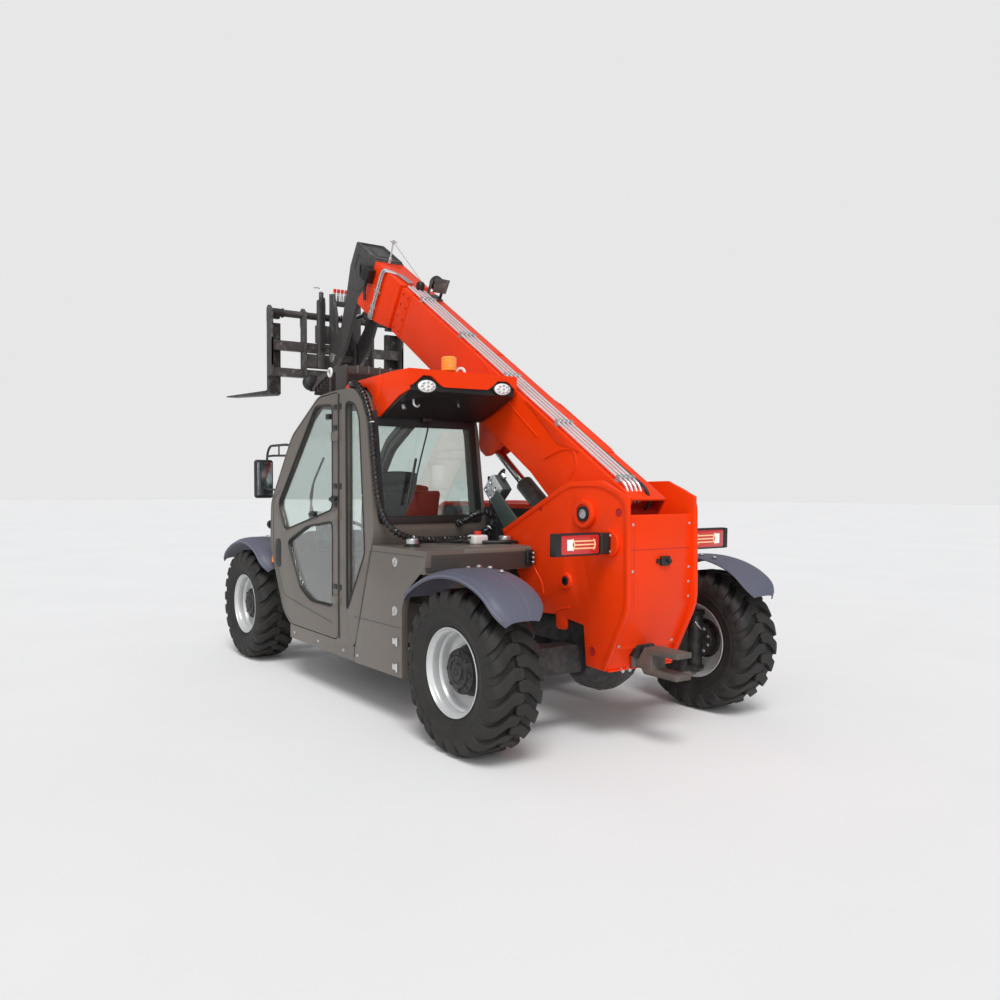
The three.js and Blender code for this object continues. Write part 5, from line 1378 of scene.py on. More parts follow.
def hitch_dress():
    """Locking handle, hydraulic couplers with caps, and hoses on the quick hitch."""
    back = -3.25
    parts = [
        block((-0.3, -3.298, 2.322), (0.3, -3.256, 2.44), 0.006, 3),
        block((-0.2, -3.298, 2.54), (0.2, -3.256, 2.69), 0.006, 3),
    ]
    for low in (-0.205, 0.137):
        parts.append(plate(oblong(low, 2.32, low + 0.068, 2.9), -back - 0.03, -back + 0.004,
                           END_ON, corner=0.02, edge=0.003))
        parts.append(rod((low + 0.034, back + 0.02, 2.88), (low + 0.034, back + 0.02, 2.96), 0.02, 20))
    hold(parts, "hitch_lock", "steel", "carriage")
    couplers, caps = [], []
    for k in range(4):
        x = -0.045 + 0.032 * k
        foot = Vector((x, back + 0.03, 2.9))
        lean = Vector((0.04 * (k - 1), 0.25, 1)).normalized()
        couplers.append(rod(foot, foot + lean * 0.055, 0.0115, 6))
        couplers.append(rod(foot + lean * 0.05, foot + lean * 0.075, 0.0095, 16))
        caps.append(turned([(0.0135, 0), (0.014, 0.02), (0.012, 0.03), (0.001, 0.032)], 20,
                           foot + lean * 0.07, lean))
    hold(couplers, "hitch_couplers", "zinc", "carriage")
    hold(caps[:2], "coupler_caps_red", "cap_red", "carriage")
    hold(caps[2:], "coupler_caps_orange", "orange", "carriage")
    handle = tube([(0.171, back + 0.02, 2.95), (0.171, back + 0.02, 2.985), (0.18, back - 0.02, 3.005),
                   (0.19, back - 0.08, 3.015)], 0.006, 0.02)
    hold(handle, "hitch_handle", "zinc", "carriage", smooth=40)
    hoses = [tube([
        (0.152 + 0.014 * k, back + 0.004, 2.905), (0.152 + 0.014 * k, back + 0.04, 2.915),
        (0.15 + 0.014 * k, back + 0.046, 2.85),
        (0.152 + 0.014 * k, back + 0.044, 2.7), (0.152 + 0.014 * k, back + 0.036, 2.48),
    ], 0.0075, 0.04, 6, 2) for k in range(3)]
    hold(hoses, "hitch_hoses", "hose", "carriage", smooth=40)


def carriage_dress():
    """Hooked end plates, stops and pins of the fork carriage."""
    face, half, top = -3.31, 0.63, 2.79
    hooks = []
    for x in (-half, -0.33, 0.312, half - 0.018):
        hooks.append(plate([
            (face - 0.004, top - 0.12), (face - 0.004, top + 0.004), (face + 0.03, top + 0.03),
            (face + 0.075, top + 0.01),
            (face + 0.096, top - 0.06), (face + 0.096, top - 0.16), (face + 0.03, top - 0.19),
        ], x - 0.001, x + 0.019, SIDE_ON, corner=0.03, edge=0.002))
    for x in (-half, half - 0.018):
        hooks.append(plate([
            (face, 2.235), (face, 2.7), (face + 0.085, 2.7), (face + 0.1, 2.56), (face + 0.1, 2.3),
            (face + 0.06, 2.235),
        ], x - 0.0005, x + 0.0185, SIDE_ON, corner=0.015, edge=0.002))
    hold(hooks, "carriage_hooks", "steel", "carriage")
    stops = []
    for sign in (1, -1):
        stops.append(turned([(0.04, -0.062), (0.04, -0.056), (0.034, -0.052), (0.034, 0.052), (0.04, 0.056),
                             (0.04, 0.062)], 28,
                            (sign * 0.56, face + 0.03, top - 0.03), LEFT))
        stops.append(block((sign * 0.56 - 0.05, face - 0.04, top - 0.075),
                           (sign * 0.56 + 0.05, face + 0.004, top - 0.015), 0.006))
    hold(stops, "fork_hangers", "fork", "carriage")


# ---------------- cab: seals, door, panel, mirror

CAB_LEFT = 0.97
CAB_FACE = CAB_LEFT - 0.001  # a millimetre into the side wall, so that what lies on it touches
CAB_RIGHT = 0.17
DOOR_LEAVES = (1.822, 1.696, 1.332, 1.212, 0.704, 0.6)  # heights of the hinge leaves
PANEL_LOCKS = (0.917, 0.647)
QUARTER = [(-1.203, 1.85), (-1.193, 0.565), (-0.96, 0.94), (-1.03, 1.745), (-1.09, 1.827)]
DOOR_UPPER = [(-2.259, 1.206), (-2.144, 1.02), (-1.39, 1.185), (-1.39, 1.84), (-1.636, 1.85)]
DOOR_LOWER = [(-2.099, 0.944), (-1.778, 1.062), (-1.39, 1.11), (-1.39, 0.569), (-1.714, 0.569),
              (-1.887, 0.639)]
RIGHT_PANE = [(-2.29, 1.0), (-2.3, 1.19), (-1.98, 1.59), (-1.6, 1.81), (-1.15, 1.82), (-1.04, 1.69),
              (-0.95, 1.0)]
WALL_STAND = Matrix(((1, 0, 0, 0), (0, -0.152, -0.988, -0.848), (0, 0.988, -0.152, 1.083), (0, 0, 0, 1)))


def seal(outline, x, bend=0.05):
    return tube([(x, back, up) for back, up in outline], 0.0075, bend, 6, 2, closed=True)


def cab_glazing():
    """Rubber seals round the panes and the black surround of the rear window."""
    hold(seal(QUARTER, CAB_LEFT - 0.003, 0.045), "quarter_window_seal", "hose", "chassis", smooth=40)
    hold(seal(RIGHT_PANE, CAB_RIGHT + 0.004, 0.06), "right_window_seal", "hose", "chassis", smooth=40)
    hold([seal(DOOR_UPPER, CAB_LEFT - 0.003), seal(DOOR_LOWER, CAB_LEFT - 0.003)], "door_seals", "hose",
         "cab_door", smooth=40)
    ring = plate(oblong(0.2, 0.03, 0.938, 0.705), -0.006, 0.002, WALL_STAND,
                 holes=[[(0.247, 0.078), (0.247, 0.612), (0.893, 0.612), (0.893, 0.078)]], corner=0.035,
                 edge=0.0015)
    hold(ring, "rear_window_surround", "plastic", "chassis")
    wiper = joined([
        tube([(0.56, -0.93, 1.745), (0.565, -0.905, 1.69), (0.64, -0.88, 1.48), (0.7, -0.86, 1.3)], 0.005,
             0.03),
        tube([(0.66, -0.892, 1.5), (0.74, -0.858, 1.23)], 0.008, 0.01),
        block((0.525, -0.945, 1.72), (0.6, -0.905, 1.765), 0.008, 3),
    ])
    hold(wiper, "rear_wiper", "plastic", "chassis", smooth=40)
    front = joined([
        tube([(0.56, -2.487, 0.96), (0.568, -2.492, 1.03), (0.64, -2.445, 1.23), (0.65, -2.38, 1.33)],
             0.006, 0.03),
        tube([(0.645, -2.44, 1.08), (0.655, -2.355, 1.35), (0.65, -2.185, 1.53)], 0.008, 0.05),
    ])
    hold(front, "front_wiper", "plastic", "chassis", smooth=40)


def strap_hinge(back, up):
    """Two small hinge leaves with a pin between them."""
    return joined([
        block((CAB_FACE, back - 0.052, up - 0.017), (CAB_LEFT + 0.006, back - 0.006, up + 0.017),
              0.002),
        rod((CAB_LEFT + 0.006, back, up - 0.024), (CAB_LEFT + 0.006, back, up + 0.024), 0.0075, 14),
    ])


def door_dress():
    """Handle, latch, hinge leaves, grille and seams of the door."""
    leaves = joined([block((CAB_FACE, -1.372, up - 0.015), (CAB_LEFT + 0.004, -1.322, up + 0.015), 0.0015)
                     for up in DOOR_LEAVES])
    hold(leaves, "door_hinge_leaves", "plastic", "cab_door")
    handles = []
    for back, up in ((-1.354, 1.25), (-1.66, 1.145)):
        handles.append(block((CAB_FACE, back - 0.05, up - 0.022),
                             (CAB_LEFT + 0.006, back + 0.05, up + 0.022), 0.006, 3))
        handles.append(block((CAB_LEFT + 0.008, back - 0.04, up - 0.012),
                             (CAB_LEFT + 0.026, back + 0.04, up + 0.012), 0.006, 3))
        handles.append(block((CAB_LEFT + 0.004, back + 0.022, up - 0.008),
                             (CAB_LEFT + 0.02, back + 0.036, up + 0.008), 0.002))
    handles.append(block((CAB_LEFT - 0.02, -1.47, 1.752), (CAB_LEFT + 0.01, -1.42, 1.786), 0.005, 3))
    handles.append(rod((CAB_LEFT + 0.004, -1.66, 1.145), (CAB_LEFT + 0.009, -1.66, 1.145), 0.01, 20))
    hold(handles, "door_handles", "plastic", "cab_door")
    slot = []
    for k in range(7):
        slot.append(block((CAB_LEFT + 0.0005, -2.292, 0.782 + 0.022 * k),
                          (CAB_LEFT + 0.004, -2.232, 0.789 + 0.022 * k), 0.001))
    slot.append(plate(oblong(-2.312, 0.75, -2.214, 0.952), CAB_LEFT - 0.002, CAB_LEFT + 0.0015, SIDE_ON,
                      corner=0.035))
    hold(slot, "door_grille", "plastic", "cab_door")
    # The pressed crease, drawn as a thin ridge in the darker brown: painted shade.
    ridge = tube([(CAB_FACE, -2.215, 1.3), (CAB_FACE, -2.35, 1.235), (CAB_FACE, -2.362, 0.93),
                  (CAB_FACE, -2.17, 0.56), (CAB_FACE, -1.4, 0.47)], 0.0035, 0.06)
    hold(ridge, "door_press_line_painted_shade", "cab_dark", "cab_door", smooth=40)


def side_panel_dress():
    """Locks, hinges and seams of the fixed panel behind the door, and the sill's bolts."""
    locks = [turned([(0.027, 0), (0.027, 0.004), (0.021, 0.007), (0.015, 0.005), (0.001, 0.005)], 32,
                    (CAB_LEFT - 0.0005, -0.605, up), LEFT)
             for up in PANEL_LOCKS]
    hold(locks, "side_panel_locks", "zinc", "chassis")
    # A black slot on each lock: painted shade in the keyhole.
    slots = [block((CAB_LEFT + 0.003, -0.607, up - 0.011), (CAB_LEFT + 0.0052, -0.603, up + 0.011), 0.0008)
             for up in PANEL_LOCKS]
    hold(slots, "side_panel_keyholes", "plastic", "chassis")
    hold([strap_hinge(-0.575, 0.475), strap_hinge(-0.575, 0.331)], "side_panel_hinges", "zinc", "chassis")
    seams = [tube([(CAB_FACE, -1.095, 0.548), (CAB_FACE, -0.545, 0.556)], 0.0028, 0.01),
             tube([(CAB_FACE, -1.105, 0.3), (CAB_FACE, -0.9, 0.96), (CAB_FACE, -0.3, 0.968)], 0.0028, 0.02)]
    hold(seams, "side_panel_seams", "cab_dark", "chassis", smooth=40)
    heads = bolts([(CAB_LEFT, back, up) for back, up in ((-1.237, 0.32), (-1.05, 0.319), (-1.981, 0.32),
            (-1.6, 0.32),
                                                         (-0.623, 0.624), (-0.994, 1.279))], LEFT, 0.008)
    hold(heads, "sill_bolts", "zinc", "chassis")
    pillar = joined([
        tube([(CAB_LEFT + 0.001, -1.297, 1.9), (CAB_LEFT + 0.001, -1.297, 0.385)], 0.0055, 0.01),
        *[block((CAB_FACE, -1.3, up - 0.018), (CAB_LEFT + 0.003, -1.262, up + 0.018), 0.001)
          for up in DOOR_LEAVES[::2]],
    ])
    hold(pillar, "door_pillar_strip", "plastic", "chassis", smooth=40)


def mirror_dress():
    """The door-side mirror: case, glass, tube frame and a small lamp below."""
    case = joined([
        block((0.885, -2.592, 1.236), (1.03, -2.548, 1.52), 0.02, 4),
        block((0.897, -2.548, 1.252), (1.018, -2.544, 1.504), 0.004),
        block((0.93, -2.6, 1.355), (0.985, -2.588, 1.4), 0.006),
    ])
    hold(case, "mirror_case", "plastic", "chassis", stands_for=("mirror_left",))
    hold(block((0.9, -2.5465, 1.256), (1.015, -2.5425, 1.5), 0.003), "mirror_glass", "mirror", "chassis")
    frame = joined([
        tube([(0.935, -2.556, 1.24), (0.935, -2.556, 1.56), (0.935, -2.5, 1.62), (0.935, -2.18, 1.62),
              (0.935, -2.07, 1.602)], 0.009, 0.05),
        tube([(0.935, -2.556, 1.3), (0.935, -2.42, 1.3), (0.935, -2.33, 1.295)], 0.008, 0.02),
        tube([(0.935, -2.556, 1.545), (0.935, -2.44, 1.548), (0.935, -2.09, 1.54)], 0.008, 0.02),
        tube([(0.935, -2.33, 1.622), (0.935, -2.33, 1.548)], 0.006, 0.01),
        block((0.915, -2.11, 1.52), (0.955, -2.062, 1.622), 0.004),
        block((0.915, -2.345, 1.272), (0.955, -2.318, 1.318), 0.004),
    ])
    hold(frame, "mirror_frame", "plastic", "chassis", smooth=40)


def cab_lights():
    """Round head lamps and indicators on the tub's front, and the lamp at the roof's front."""
    cases, glasses, sides = [], [], []
    for x in (0.33, 0.82):
        cases.append(turned([(0.001, 0), (0.075, 0), (0.082, 0.02), (0.08, 0.046), (0.072, 0.048),
                             (0.07, 0.038), (0.001, 0.036)], 40,
                            (x, -2.428, 0.79), -BACK))
        glasses.append(turned([(0.069, 0), (0.066, 0.008), (0.045, 0.014), (0.001, 0.017)], 40,
                              (x, -2.465, 0.79), -BACK))
        cases.append(block((x - 0.035, -2.44, 0.76), (x + 0.035, -2.38, 0.82), 0.004))
        sides.append(block((x + (0.095 if x > 0.5 else -0.125), -2.455, 0.765),
                           (x + (0.125 if x > 0.5 else -0.095), -2.4, 0.815), 0.006, 3))
    roof = Vector((0.86, -1.915, 2.045))
    cases.append(block((0.845, -1.935, 1.975), (0.875, -1.925, 2.05), 0.003))
    cases += [block((0.82, -1.962 + 0.011 * k, 2.0), (0.9, -1.958 + 0.011 * k, 2.085), 0.001)
              for k in range(4)]
    cases.append(turned([(0.001, 0), (0.03, 0), (0.034, 0.02), (0.03, 0.034), (0.001, 0.036)], 28,
                        (0.945, -2.47, 1.045), BACK))
    cases.append(block((0.925, -2.475, 1.035), (0.948, -2.39, 1.055), 0.003))
    cases.append(turned([(0.03, 0), (0.046, 0.01), (0.052, 0.03), (0.052, 0.055), (0.046, 0.057),
                         (0.044, 0.05), (0.001, 0.048)], 32, roof,
                        (0, -1, -0.2)))
    hold(cases, "cab_lamp_cases", "plastic", "chassis", smooth=40)
    glasses.append(turned([(0.044, 0), (0.04, 0.006), (0.001, 0.01)], 32,
                          roof + Vector((0, -0.048, -0.0096)), (0, -1, -0.2)))
    hold(glasses, "cab_lamp_lenses", "white_lens", "chassis", smooth=40)
    hold(sides, "cab_indicators", "amber", "chassis")


# ---------------- cab: seat and controls

SEAT_MIDDLE = 0.614


def cushion_shape(low, high, bulge, lean=0.0):
    """A padded block: a rounded box whose faces swell, smoothed by subdivision."""
    pad = block(low, high, 0.022, 3)
    with_modifier(pad, "SUBSURF", levels=2, render_levels=2)
    middle = (Vector(low) + Vector(high)) / 2
    half = (Vector(high) - Vector(low)) / 2
    for vertex in pad.data.vertices:
        across = [(vertex.co[axis] - middle[axis]) / half[axis] for axis in range(3)]
        for axis in range(3):
            others = [across[k] for k in range(3) if k != axis]
            vertex.co[axis] += bulge * across[axis] * max(0, 1 - others[0] ** 2) * max(0,
                    1 - others[1] ** 2)
        vertex.co.y += lean * (vertex.co.z - low[2])
    return pad


def seat():
    """The driver's seat: padded cushion, wings and back on a bellows base."""
    m = SEAT_MIDDLE
    base_cushion = joined([
        cushion_shape((m - 0.165, -1.63, 0.655), (m + 0.165, -1.18, 0.742), 0.012),
        cushion_shape((m - 0.238, -1.61, 0.66), (m - 0.15, -1.18, 0.76), 0.01),
        cushion_shape((m + 0.15, -1.61, 0.66), (m + 0.238, -1.18, 0.76), 0.01),
    ])
    hold(base_cushion, "seat_cushion", "seat", "chassis", smooth=50, stands_for=("seat",))
    back = joined([
        cushion_shape((m - 0.15, -1.255, 0.74), (m + 0.15, -1.15, 1.335), 0.014, 0.19),
        cushion_shape((m - 0.225, -1.27, 0.75), (m - 0.14, -1.15, 1.23), 0.01, 0.19),
        cushion_shape((m + 0.14, -1.27, 0.75), (m + 0.225, -1.15, 1.23), 0.01, 0.19),
        cushion_shape((m - 0.13, -1.235, 1.33), (m + 0.13, -1.16, 1.42), 0.008, 0.16),
    ])
    hold(back, "seat_back", "seat", "chassis", smooth=50)
    base = [block((m - 0.15, -1.5, 0.445), (m + 0.15, -1.18, 0.48), 0.006)]
    base += [block((m - 0.14, -1.49, 0.48 + 0.028 * k), (m + 0.14, -1.19, 0.5 + 0.028 * k), 0.008, 3)
             for k in range(6)]
    base.append(block((m - 0.19, -1.56, 0.64), (m + 0.19, -1.15, 0.668), 0.006))
    base.append(plate([(-1.18, 0.65), (-1.12, 0.65), (-0.985, 1.3), (-1.03, 1.31)], m - 0.19, m + 0.19,
                      SIDE_ON, corner=0.02))
    for sign in (-1, 1):
        base.append(block((m + sign * 0.262 - 0.03, -1.56, 0.88), (m + sign * 0.262 + 0.03, -1.24, 0.912),
                          0.012, 3))
        base.append(block((m + sign * 0.262 - 0.012, -1.3, 0.7), (m + sign * 0.262 + 0.012, -1.24, 0.89),
                          0.005))
    hold(base, "seat_base", "plastic", "chassis", smooth=40)


def controls():
    """Column, dash, instrument hood, steering wheel and joystick."""
    m = SEAT_MIDDLE
    column = joined([
        plate([(-1.99, 0.445), (-1.88, 0.445), (-1.9, 0.7), (-1.87, 0.9), (-1.95, 0.93), (-2.06, 0.88),
               (-2.0, 0.7)],
              m - 0.06, m + 0.06, SIDE_ON, corner=0.02, edge=0.006),
        plate([(-2.29, 0.86), (-2.0, 0.86), (-1.985, 0.955), (-2.06, 1.012), (-2.1, 1.01), (-2.3, 0.96)],
              m - 0.2, m + 0.2, SIDE_ON, corner=0.02, edge=0.008),
        plate([(-2.11, 1.0), (-2.04, 1.01), (-2.05, 1.06), (-2.14, 1.07)], m - 0.12, m + 0.12, SIDE_ON,
              corner=0.02, edge=0.006),
        tube([(m + 0.05, -1.93, 0.88), (m + 0.17, -1.92, 0.905), (m + 0.2, -1.915, 0.91)], 0.006, 0.02),
        block((m - 0.3, -1.66, 0.7), (m - 0.255, -1.5, 0.86), 0.01, 3),
        tube([(m - 0.278, -1.6, 0.855), (m - 0.278, -1.6, 0.94)], 0.008, 0.01),
        turned([(0.012, 0), (0.022, 0.012), (0.024, 0.05), (0.016, 0.078), (0.001, 0.084)], 24,
               (m - 0.278, -1.6, 0.93), UP),
    ])
    hold(column, "control_column", "plastic", "chassis", smooth=40, stands_for=("steering_console",))
    lean = Vector((0, sin(radians(35)), cos(radians(35))))
    hub = Vector((m, -1.85, 0.985))
    wheel = [turned([(0.164, 0.0), (0.168, 0.01), (0.176, 0.0135), (0.184, 0.009), (0.188, 0.0),
                     (0.184, -0.009), (0.176, -0.0135),
                     (0.168, -0.01), (0.164, 0.0)], 64, hub, lean),
             turned([(0.045, -0.03), (0.05, -0.01), (0.046, 0.01), (0.03, 0.016), (0.001, 0.017)], 36,
                    hub - lean * 0.02, lean),
             rod(hub - lean * 0.1, hub - lean * 0.02, 0.026, 20)]
    stand = pointing(hub, lean)
    for k in range(3):
        turn = radians(90 + 120 * k)
        tip = stand @ Vector((0.172 * cos(turn), 0.172 * sin(turn), 0))
        root = stand @ Vector((0.035 * cos(turn), 0.035 * sin(turn), -0.018))
        wheel.append(tube([root, (root + tip) / 2 - lean * 0.006, tip], 0.01, 0.03))
    knob = stand @ Vector((0.172 * cos(2.6), 0.172 * sin(2.6), 0))
    wheel.append(turned([(0.008, 0), (0.008, 0.02), (0.02, 0.026), (0.022, 0.045), (0.001, 0.055)], 24,
                        knob, lean))
    hold(wheel, "steering_wheel", "plastic", "chassis", smooth=40)


# ---------------- hoses, valve block and deck

HOSE_ROUTE = [
    (0.8958, -1.215, 1.95), (0.922, -1.215, 1.95), (0.944, -1.175, 1.95), (0.949, -1.105, 1.947),
    (0.949, -1.05, 1.907),
    (0.949, -1.001, 1.862), (0.949, -0.957, 1.785), (0.949, -0.922, 1.722), (0.949, -0.898, 1.57),
    (0.948, -0.868, 1.38),
    (0.944, -0.838, 1.24), (0.925, -0.8, 1.14), (0.88, -0.768, 1.075), (0.8, -0.748, 1.035),
    (0.69, -0.742, 1.019),
    (0.56, -0.742, 1.019), (0.44, -0.745, 1.02), (0.34, -0.748, 1.03), (0.255, -0.748, 1.054),
    (0.196, -0.745, 1.098),
    (0.194, -0.745, 1.152), (0.245, -0.75, 1.182), (0.312, -0.762, 1.168), (0.362, -0.782, 1.138),
    (0.38, -0.804, 1.1194), (0.38, -0.8517, 1.112),
]
HOSE_CORE = 0.015
WRAP_RADIUS = HOSE_CORE + 0.0005
WRAP_PITCH = 0.028
TURN_STEPS = 10
HOSE_TIES = (160, 440, 640)  # steps from the roof


def even_steps(points, step):
    """The same path, with a point at every step along it."""
    found, travelled = [points[0]], 0.0
    for a, b in zip(points, points[1:]):
        length = (b - a).length
        along = step - travelled
        while along <= length:
            found.append(a.lerp(b, along / length))
            along += step
        travelled = length - (along - step)
    return found


def spiral_hose():
    """The cable harness from the roof to the bulkhead, bound in a spiral wrap."""
    path = even_steps(eased(HOSE_ROUTE, 0.05, 5), WRAP_PITCH / TURN_STEPS)
    coil = []
    side = Vector((1, 0, 0))
    for i, spot in enumerate(path[4:-4], 4):
        along = (path[i + 1] - path[i - 1]).normalized()
        side = (side - along * side.dot(along)).normalized()
        over = along.cross(side)
        turn = 2 * pi * i / TURN_STEPS
        coil.append(spot + side * cos(turn) * WRAP_RADIUS + over * sin(turn) * WRAP_RADIUS)
    core = tube(path[::8] + [path[-1]], HOSE_CORE, 0.002, 1, 3)
    wrap = tube(coil, 0.0068, 0.0005, 1, 1)
    hold([core, wrap], "spiral_hose", "spiral", "chassis", smooth=50, stands_for=("spiral_hose",))
    ties = []
    for k in HOSE_TIES:
        if k < len(path) - 2:
            along = (path[k + 1] - path[k]).normalized()
            ties.append(turned([(0.0165, -0.003), (0.0195, -0.003), (0.0195, 0.003), (0.0165, 0.003),
                                (0.0165, -0.003)], 24, path[k], along))
    hold(ties, "hose_ties", "tag", "chassis")
    grips = [turned([(0.02, 0), (0.024, 0.004), (0.024, 0.016), (0.02, 0.02)], 24, spot, axis)
             for spot, axis in (((0.8958, -1.215, 1.95), LEFT), ((0.38, -0.85, 1.112), BACK))]
    hold(grips, "hose_grommets", "plastic", "chassis")


def valve_block():
    """The lozenge valve block on the tower's inner side, its ports, fittings and hoses."""
    lozenge = [(-0.79, 1.318), (-0.7, 1.228), (-0.61, 1.318), (-0.7, 1.408)]
    body = plate(lozenge, 0.152, 0.222, SIDE_ON, corner=0.008, edge=0.003)
    arm = plate([(-0.7, 1.25), (-0.64, 1.31), (-0.44, 1.142), (-0.56, 1.082)], 0.2325, 0.2495, SIDE_ON,
                edge=0.002)
    hold([body, arm], "valve_body", "valve_side", "chassis", stands_for=("valve_block",))
    face = plate(lozenge, 0.222, 0.238, SIDE_ON, corner=0.008, edge=0.002)
    hold(face, "valve_face", "valve", "chassis")
    ports = []
    for back, up in ((-0.745, 1.318), (-0.7, 1.363), (-0.655, 1.318), (-0.7, 1.273)):
        ports.append(turned([(0.017, 0), (0.017, 0.007), (0.013, 0.009), (0.009, 0.004), (0.001, 0.004)],
                            24, (0.2375, back, up), LEFT))
    for back, up in ((-0.78, 1.345), (-0.64, 1.385), (-0.755, 1.272)):
        ports.append(rod((0.185, back, up), (0.185, back - 0.02, up + 0.022), 0.013, 6))
    ports += [bolt_at((0.238, back, up), LEFT, 0.006) for back,
              up in ((-0.7, 1.318), (-0.772, 1.318), (-0.628, 1.318))]
    hold(ports, "valve_ports", "zinc", "chassis")
    hoses = joined([
        tube([(0.185, -0.8, 1.365), (0.165, -0.83, 1.4), (0.152, -0.825, 1.3), (0.15, -0.8, 1.1),
              (0.15, -0.78, 0.9)], 0.009, 0.04),
        tube([(0.185, -0.775, 1.292), (0.162, -0.8, 1.285), (0.152, -0.78, 1.15), (0.152, -0.76, 0.9)],
             0.009, 0.03),
        tube([(0.185, -0.655, 1.405), (0.165, -0.67, 1.44), (0.148, -0.72, 1.43), (0.148, -0.835, 1.33),
              (0.15, -0.83, 0.95)], 0.008, 0.04),
    ])
    hold(hoses, "valve_hoses", "hose", "chassis", smooth=40)


def deck_dress():
    """Caps, bottle, pipe clamp, and painted shade on the rear face of the deck behind the cab."""
    # A dark plate on the deck's rear face: painted shade.
    rear = plate(oblong(0.256, 0.882, 0.962, 0.974), 0.297, 0.2995, END_ON, corner=0.02, edge=0.0006)
    hold(rear, "deck_rear_painted_shade", "guard_bar", "chassis")
    top = joined([
        plate(oblong(-0.85, 0.262, -0.315, 0.7), 0.9985, 1.0035,
              Matrix(((0, 1, 0, 0), (1, 0, 0, 0), (0, 0, 1, 0), (0, 0, 0, 1))), corner=0.03, edge=0.002),
        tube([(0.715, -0.85, 1.0), (0.715, -0.3, 1.0)], 0.003, 0.01),
    ])
    hold(top, "deck_cover", "cab", "chassis")
    bases, caps = [], []
    for x, back in ((0.838, -0.64), (0.3, -0.486)):
        ground = 0.995 if x > 0.7 else 1.003
        bases.append(turned([(0.046, 0), (0.046, 0.006), (0.036, 0.01), (0.034, 0.02)], 32,
                            (x, back, ground), UP))
        caps.append(turned([(0.033, 0.014), (0.036, 0.018), (0.036, 0.04), (0.031, 0.046), (0.001, 0.047)],
                           32, (x, back, ground), UP))
    hold(bases, "filler_necks", "plastic", "chassis")
    hold(caps, "filler_caps", "zinc", "chassis")
    bottle = joined([block((0.42, -0.56, 1.003), (0.52, -0.48, 1.058), 0.014, 4)])
    hold(bottle, "washer_bottle", "tank_white", "chassis")
    cap = turned([(0.02, 0), (0.022, 0.004), (0.022, 0.018), (0.018, 0.022), (0.001, 0.023)], 28,
                 (0.47, -0.52, 1.057), UP)
    hold(cap, "washer_cap", "cap_red", "chassis")
    hoses = joined([
        tube([(0.56, -0.7, 1.015), (0.545, -0.56, 1.018), (0.4, -0.43, 1.018), (0.33, -0.4, 1.022),
              (0.262, -0.42, 1.015)], 0.01, 0.06),
        tube([(0.52, -0.52, 1.045), (0.6, -0.5, 1.03), (0.64, -0.6, 1.018), (0.64, -0.7, 1.015)], 0.007,
             0.05),
    ])
    hold(hoses, "deck_hoses", "hose", "chassis", smooth=40)
    clamp = joined([
        block((0.254, -0.298, 0.896), (0.3, -0.276, 0.98), 0.005, 3),
        *[rod((0.277, -0.276, up), (0.277, -0.25, up), 0.011, 20) for up in (0.912, 0.938, 0.964)],
    ])
    hold(clamp, "pipe_clamp", "plastic", "chassis")
    hold(bolts([(0.277, -0.25, up) for up in (0.912, 0.938, 0.964)], BACK, 0.006), "pipe_clamp_bolts",
         "zinc", "chassis")


# ---------------- tow hitch and engine side

def tow_dress():
    """The two-jawed clevis, its pin and its mounting bolts."""
    jaw = plate([
        (0.318, 0.4), (0.4, 0.395), (0.415, 0.372), (0.532, 0.374), (0.535, 0.398), (0.44, 0.404),
        (0.425, 0.44),
        (0.44, 0.476), (0.535, 0.48), (0.532, 0.504), (0.415, 0.506), (0.4, 0.462), (0.318, 0.45),
    ], -0.046, 0.046, SIDE_ON, corner=0.008, edge=0.003)
    hold(jaw, "tow_clevis", "iron", "chassis", stands_for=("tow_hitch",))
    pin = joined([
        turned([(0.019, 0), (0.019, 0.004), (0.013, 0.005), (0.012, 0.001)], 24, (0, 0.5, 0.5045), UP),
        block((-0.08, 0.312, 0.396), (0.08, 0.326, 0.46), 0.004),
    ])
    hold(pin, "tow_eye", "iron", "chassis", smooth=40)


HOOD_SIDE = -0.97


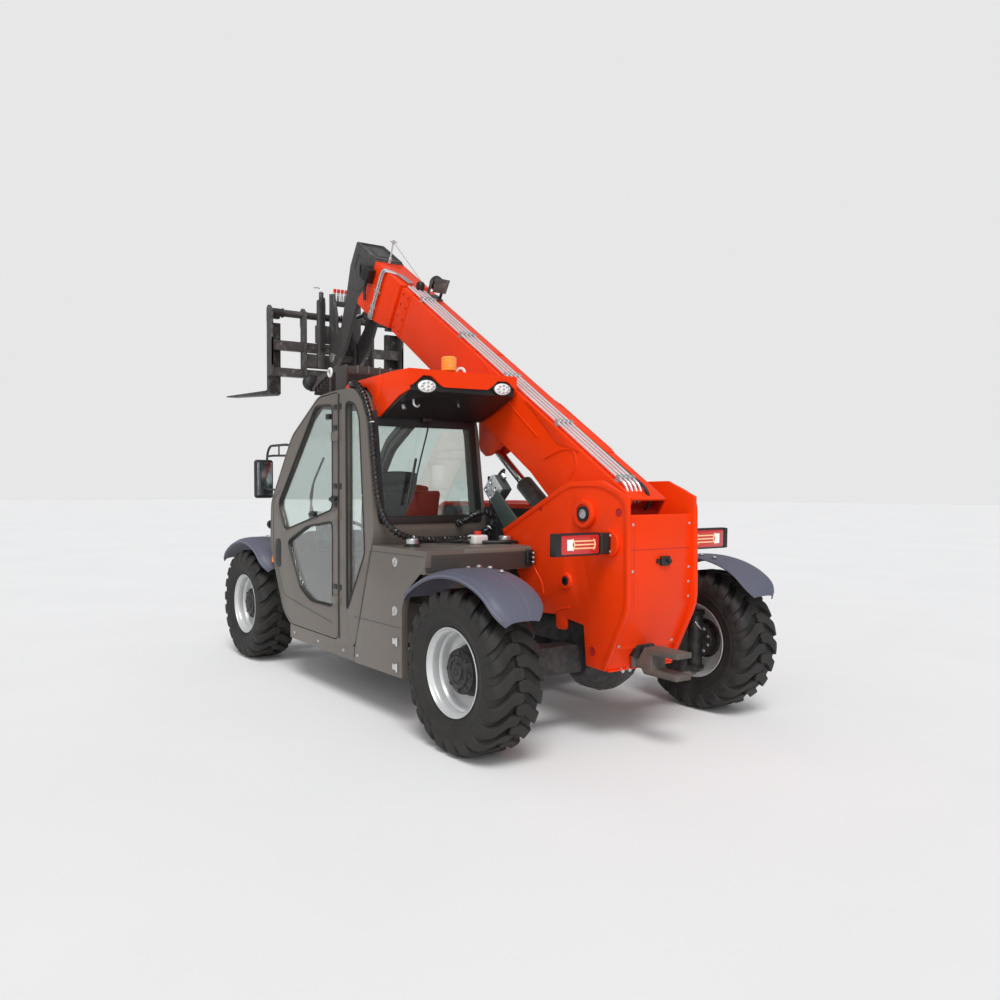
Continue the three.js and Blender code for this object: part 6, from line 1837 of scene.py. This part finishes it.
def engine_side():
    """Grilles, seams and latches of the engine hood, and the panels on its skirt."""
    bars = []
    for centre in (-1.02, -1.56):
        bars.append(plate(oblong(centre - 0.2, 0.72, centre + 0.2, 0.98),
                          HOOD_SIDE - 0.002, HOOD_SIDE + 0.002, SIDE_ON, corner=0.03))
        bars += [block((HOOD_SIDE - 0.006, centre - 0.185, 0.738 + 0.024 * k),
                       (HOOD_SIDE - 0.001, centre + 0.185, 0.748 + 0.024 * k), 0.002)
                 for k in range(10)]
    hold(bars, "engine_grilles", "plastic", "engine_hood")
    latches = [block((HOOD_SIDE - 0.008, back - 0.03, 0.61), (HOOD_SIDE + 0.001, back + 0.03, 0.645),
                     0.004) for back in (-0.9, -1.9)]
    latches += [rod((HOOD_SIDE - 0.009, back, 0.628), (HOOD_SIDE - 0.002, back, 0.628), 0.012, 24)
                for back in (-0.9, -1.9)]
    hold(latches, "engine_hood_latches", "plastic", "engine_hood")
    seams = [tube([(HOOD_SIDE - 0.0005, -0.7, 0.69), (HOOD_SIDE - 0.0005, -2.18, 0.69)], 0.003, 0.01),
             tube([(HOOD_SIDE - 0.0005, -1.29, 0.52), (HOOD_SIDE - 0.0005, -1.29, 1.15)], 0.003, 0.01)]
    hold(seams, "engine_hood_seams", "orange_shade", "engine_hood", smooth=40)
    steps = [block((HOOD_SIDE - 0.001, -2.0 + 0.42 * k, 0.33), (HOOD_SIDE + 0.004, -1.72 + 0.42 * k, 0.45),
                   0.002) for k in range(3)]
    hold(steps, "skirt_panels", "black", "chassis")
    cover = joined([
        plate(oblong(-0.9, -1.9, -0.4, -1.0), 1.2135, 1.2185, IN_PLACE, corner=0.05, edge=0.002),
        *[block((-0.82, -1.8 + 0.04 * k, 1.217), (-0.48, -1.784 + 0.04 * k, 1.2215), 0.0015)
          for k in range(8)],
    ])
    # The top cover in the shaded orange: painted shade.
    hold(cover, "engine_hood_top", "orange_shade", "engine_hood")


def front_dress():
    """The dark strip and the two stops at the front of the chassis."""
    front = joined([
        block((0.3, -2.425, 0.56), (0.56, -2.4, 0.64), 0.006),
        *[block((0.24 + 0.6 * k, -2.44, 0.905), (0.3 + 0.6 * k, -2.418, 0.925), 0.004) for k in range(2)],
    ])
    hold(front, "front_bumper_strip", "plastic", "chassis")


for dress in (
    carried_over, wheels, mudguards, tail_lamps, tower_dress, cover_dress, boom_tail, roof_hood,
    roof_guard, beacon, boom_pipes, boom_reliefs, boom_head, boom_nose_dress, boom_lamp, hitch_dress,
    carriage_dress, cab_glazing, door_dress, side_panel_dress, mirror_dress, cab_lights, seat, controls,
    spiral_hose, valve_block, deck_dress, tow_dress, engine_side, front_dress,
):
    dress()
studio()
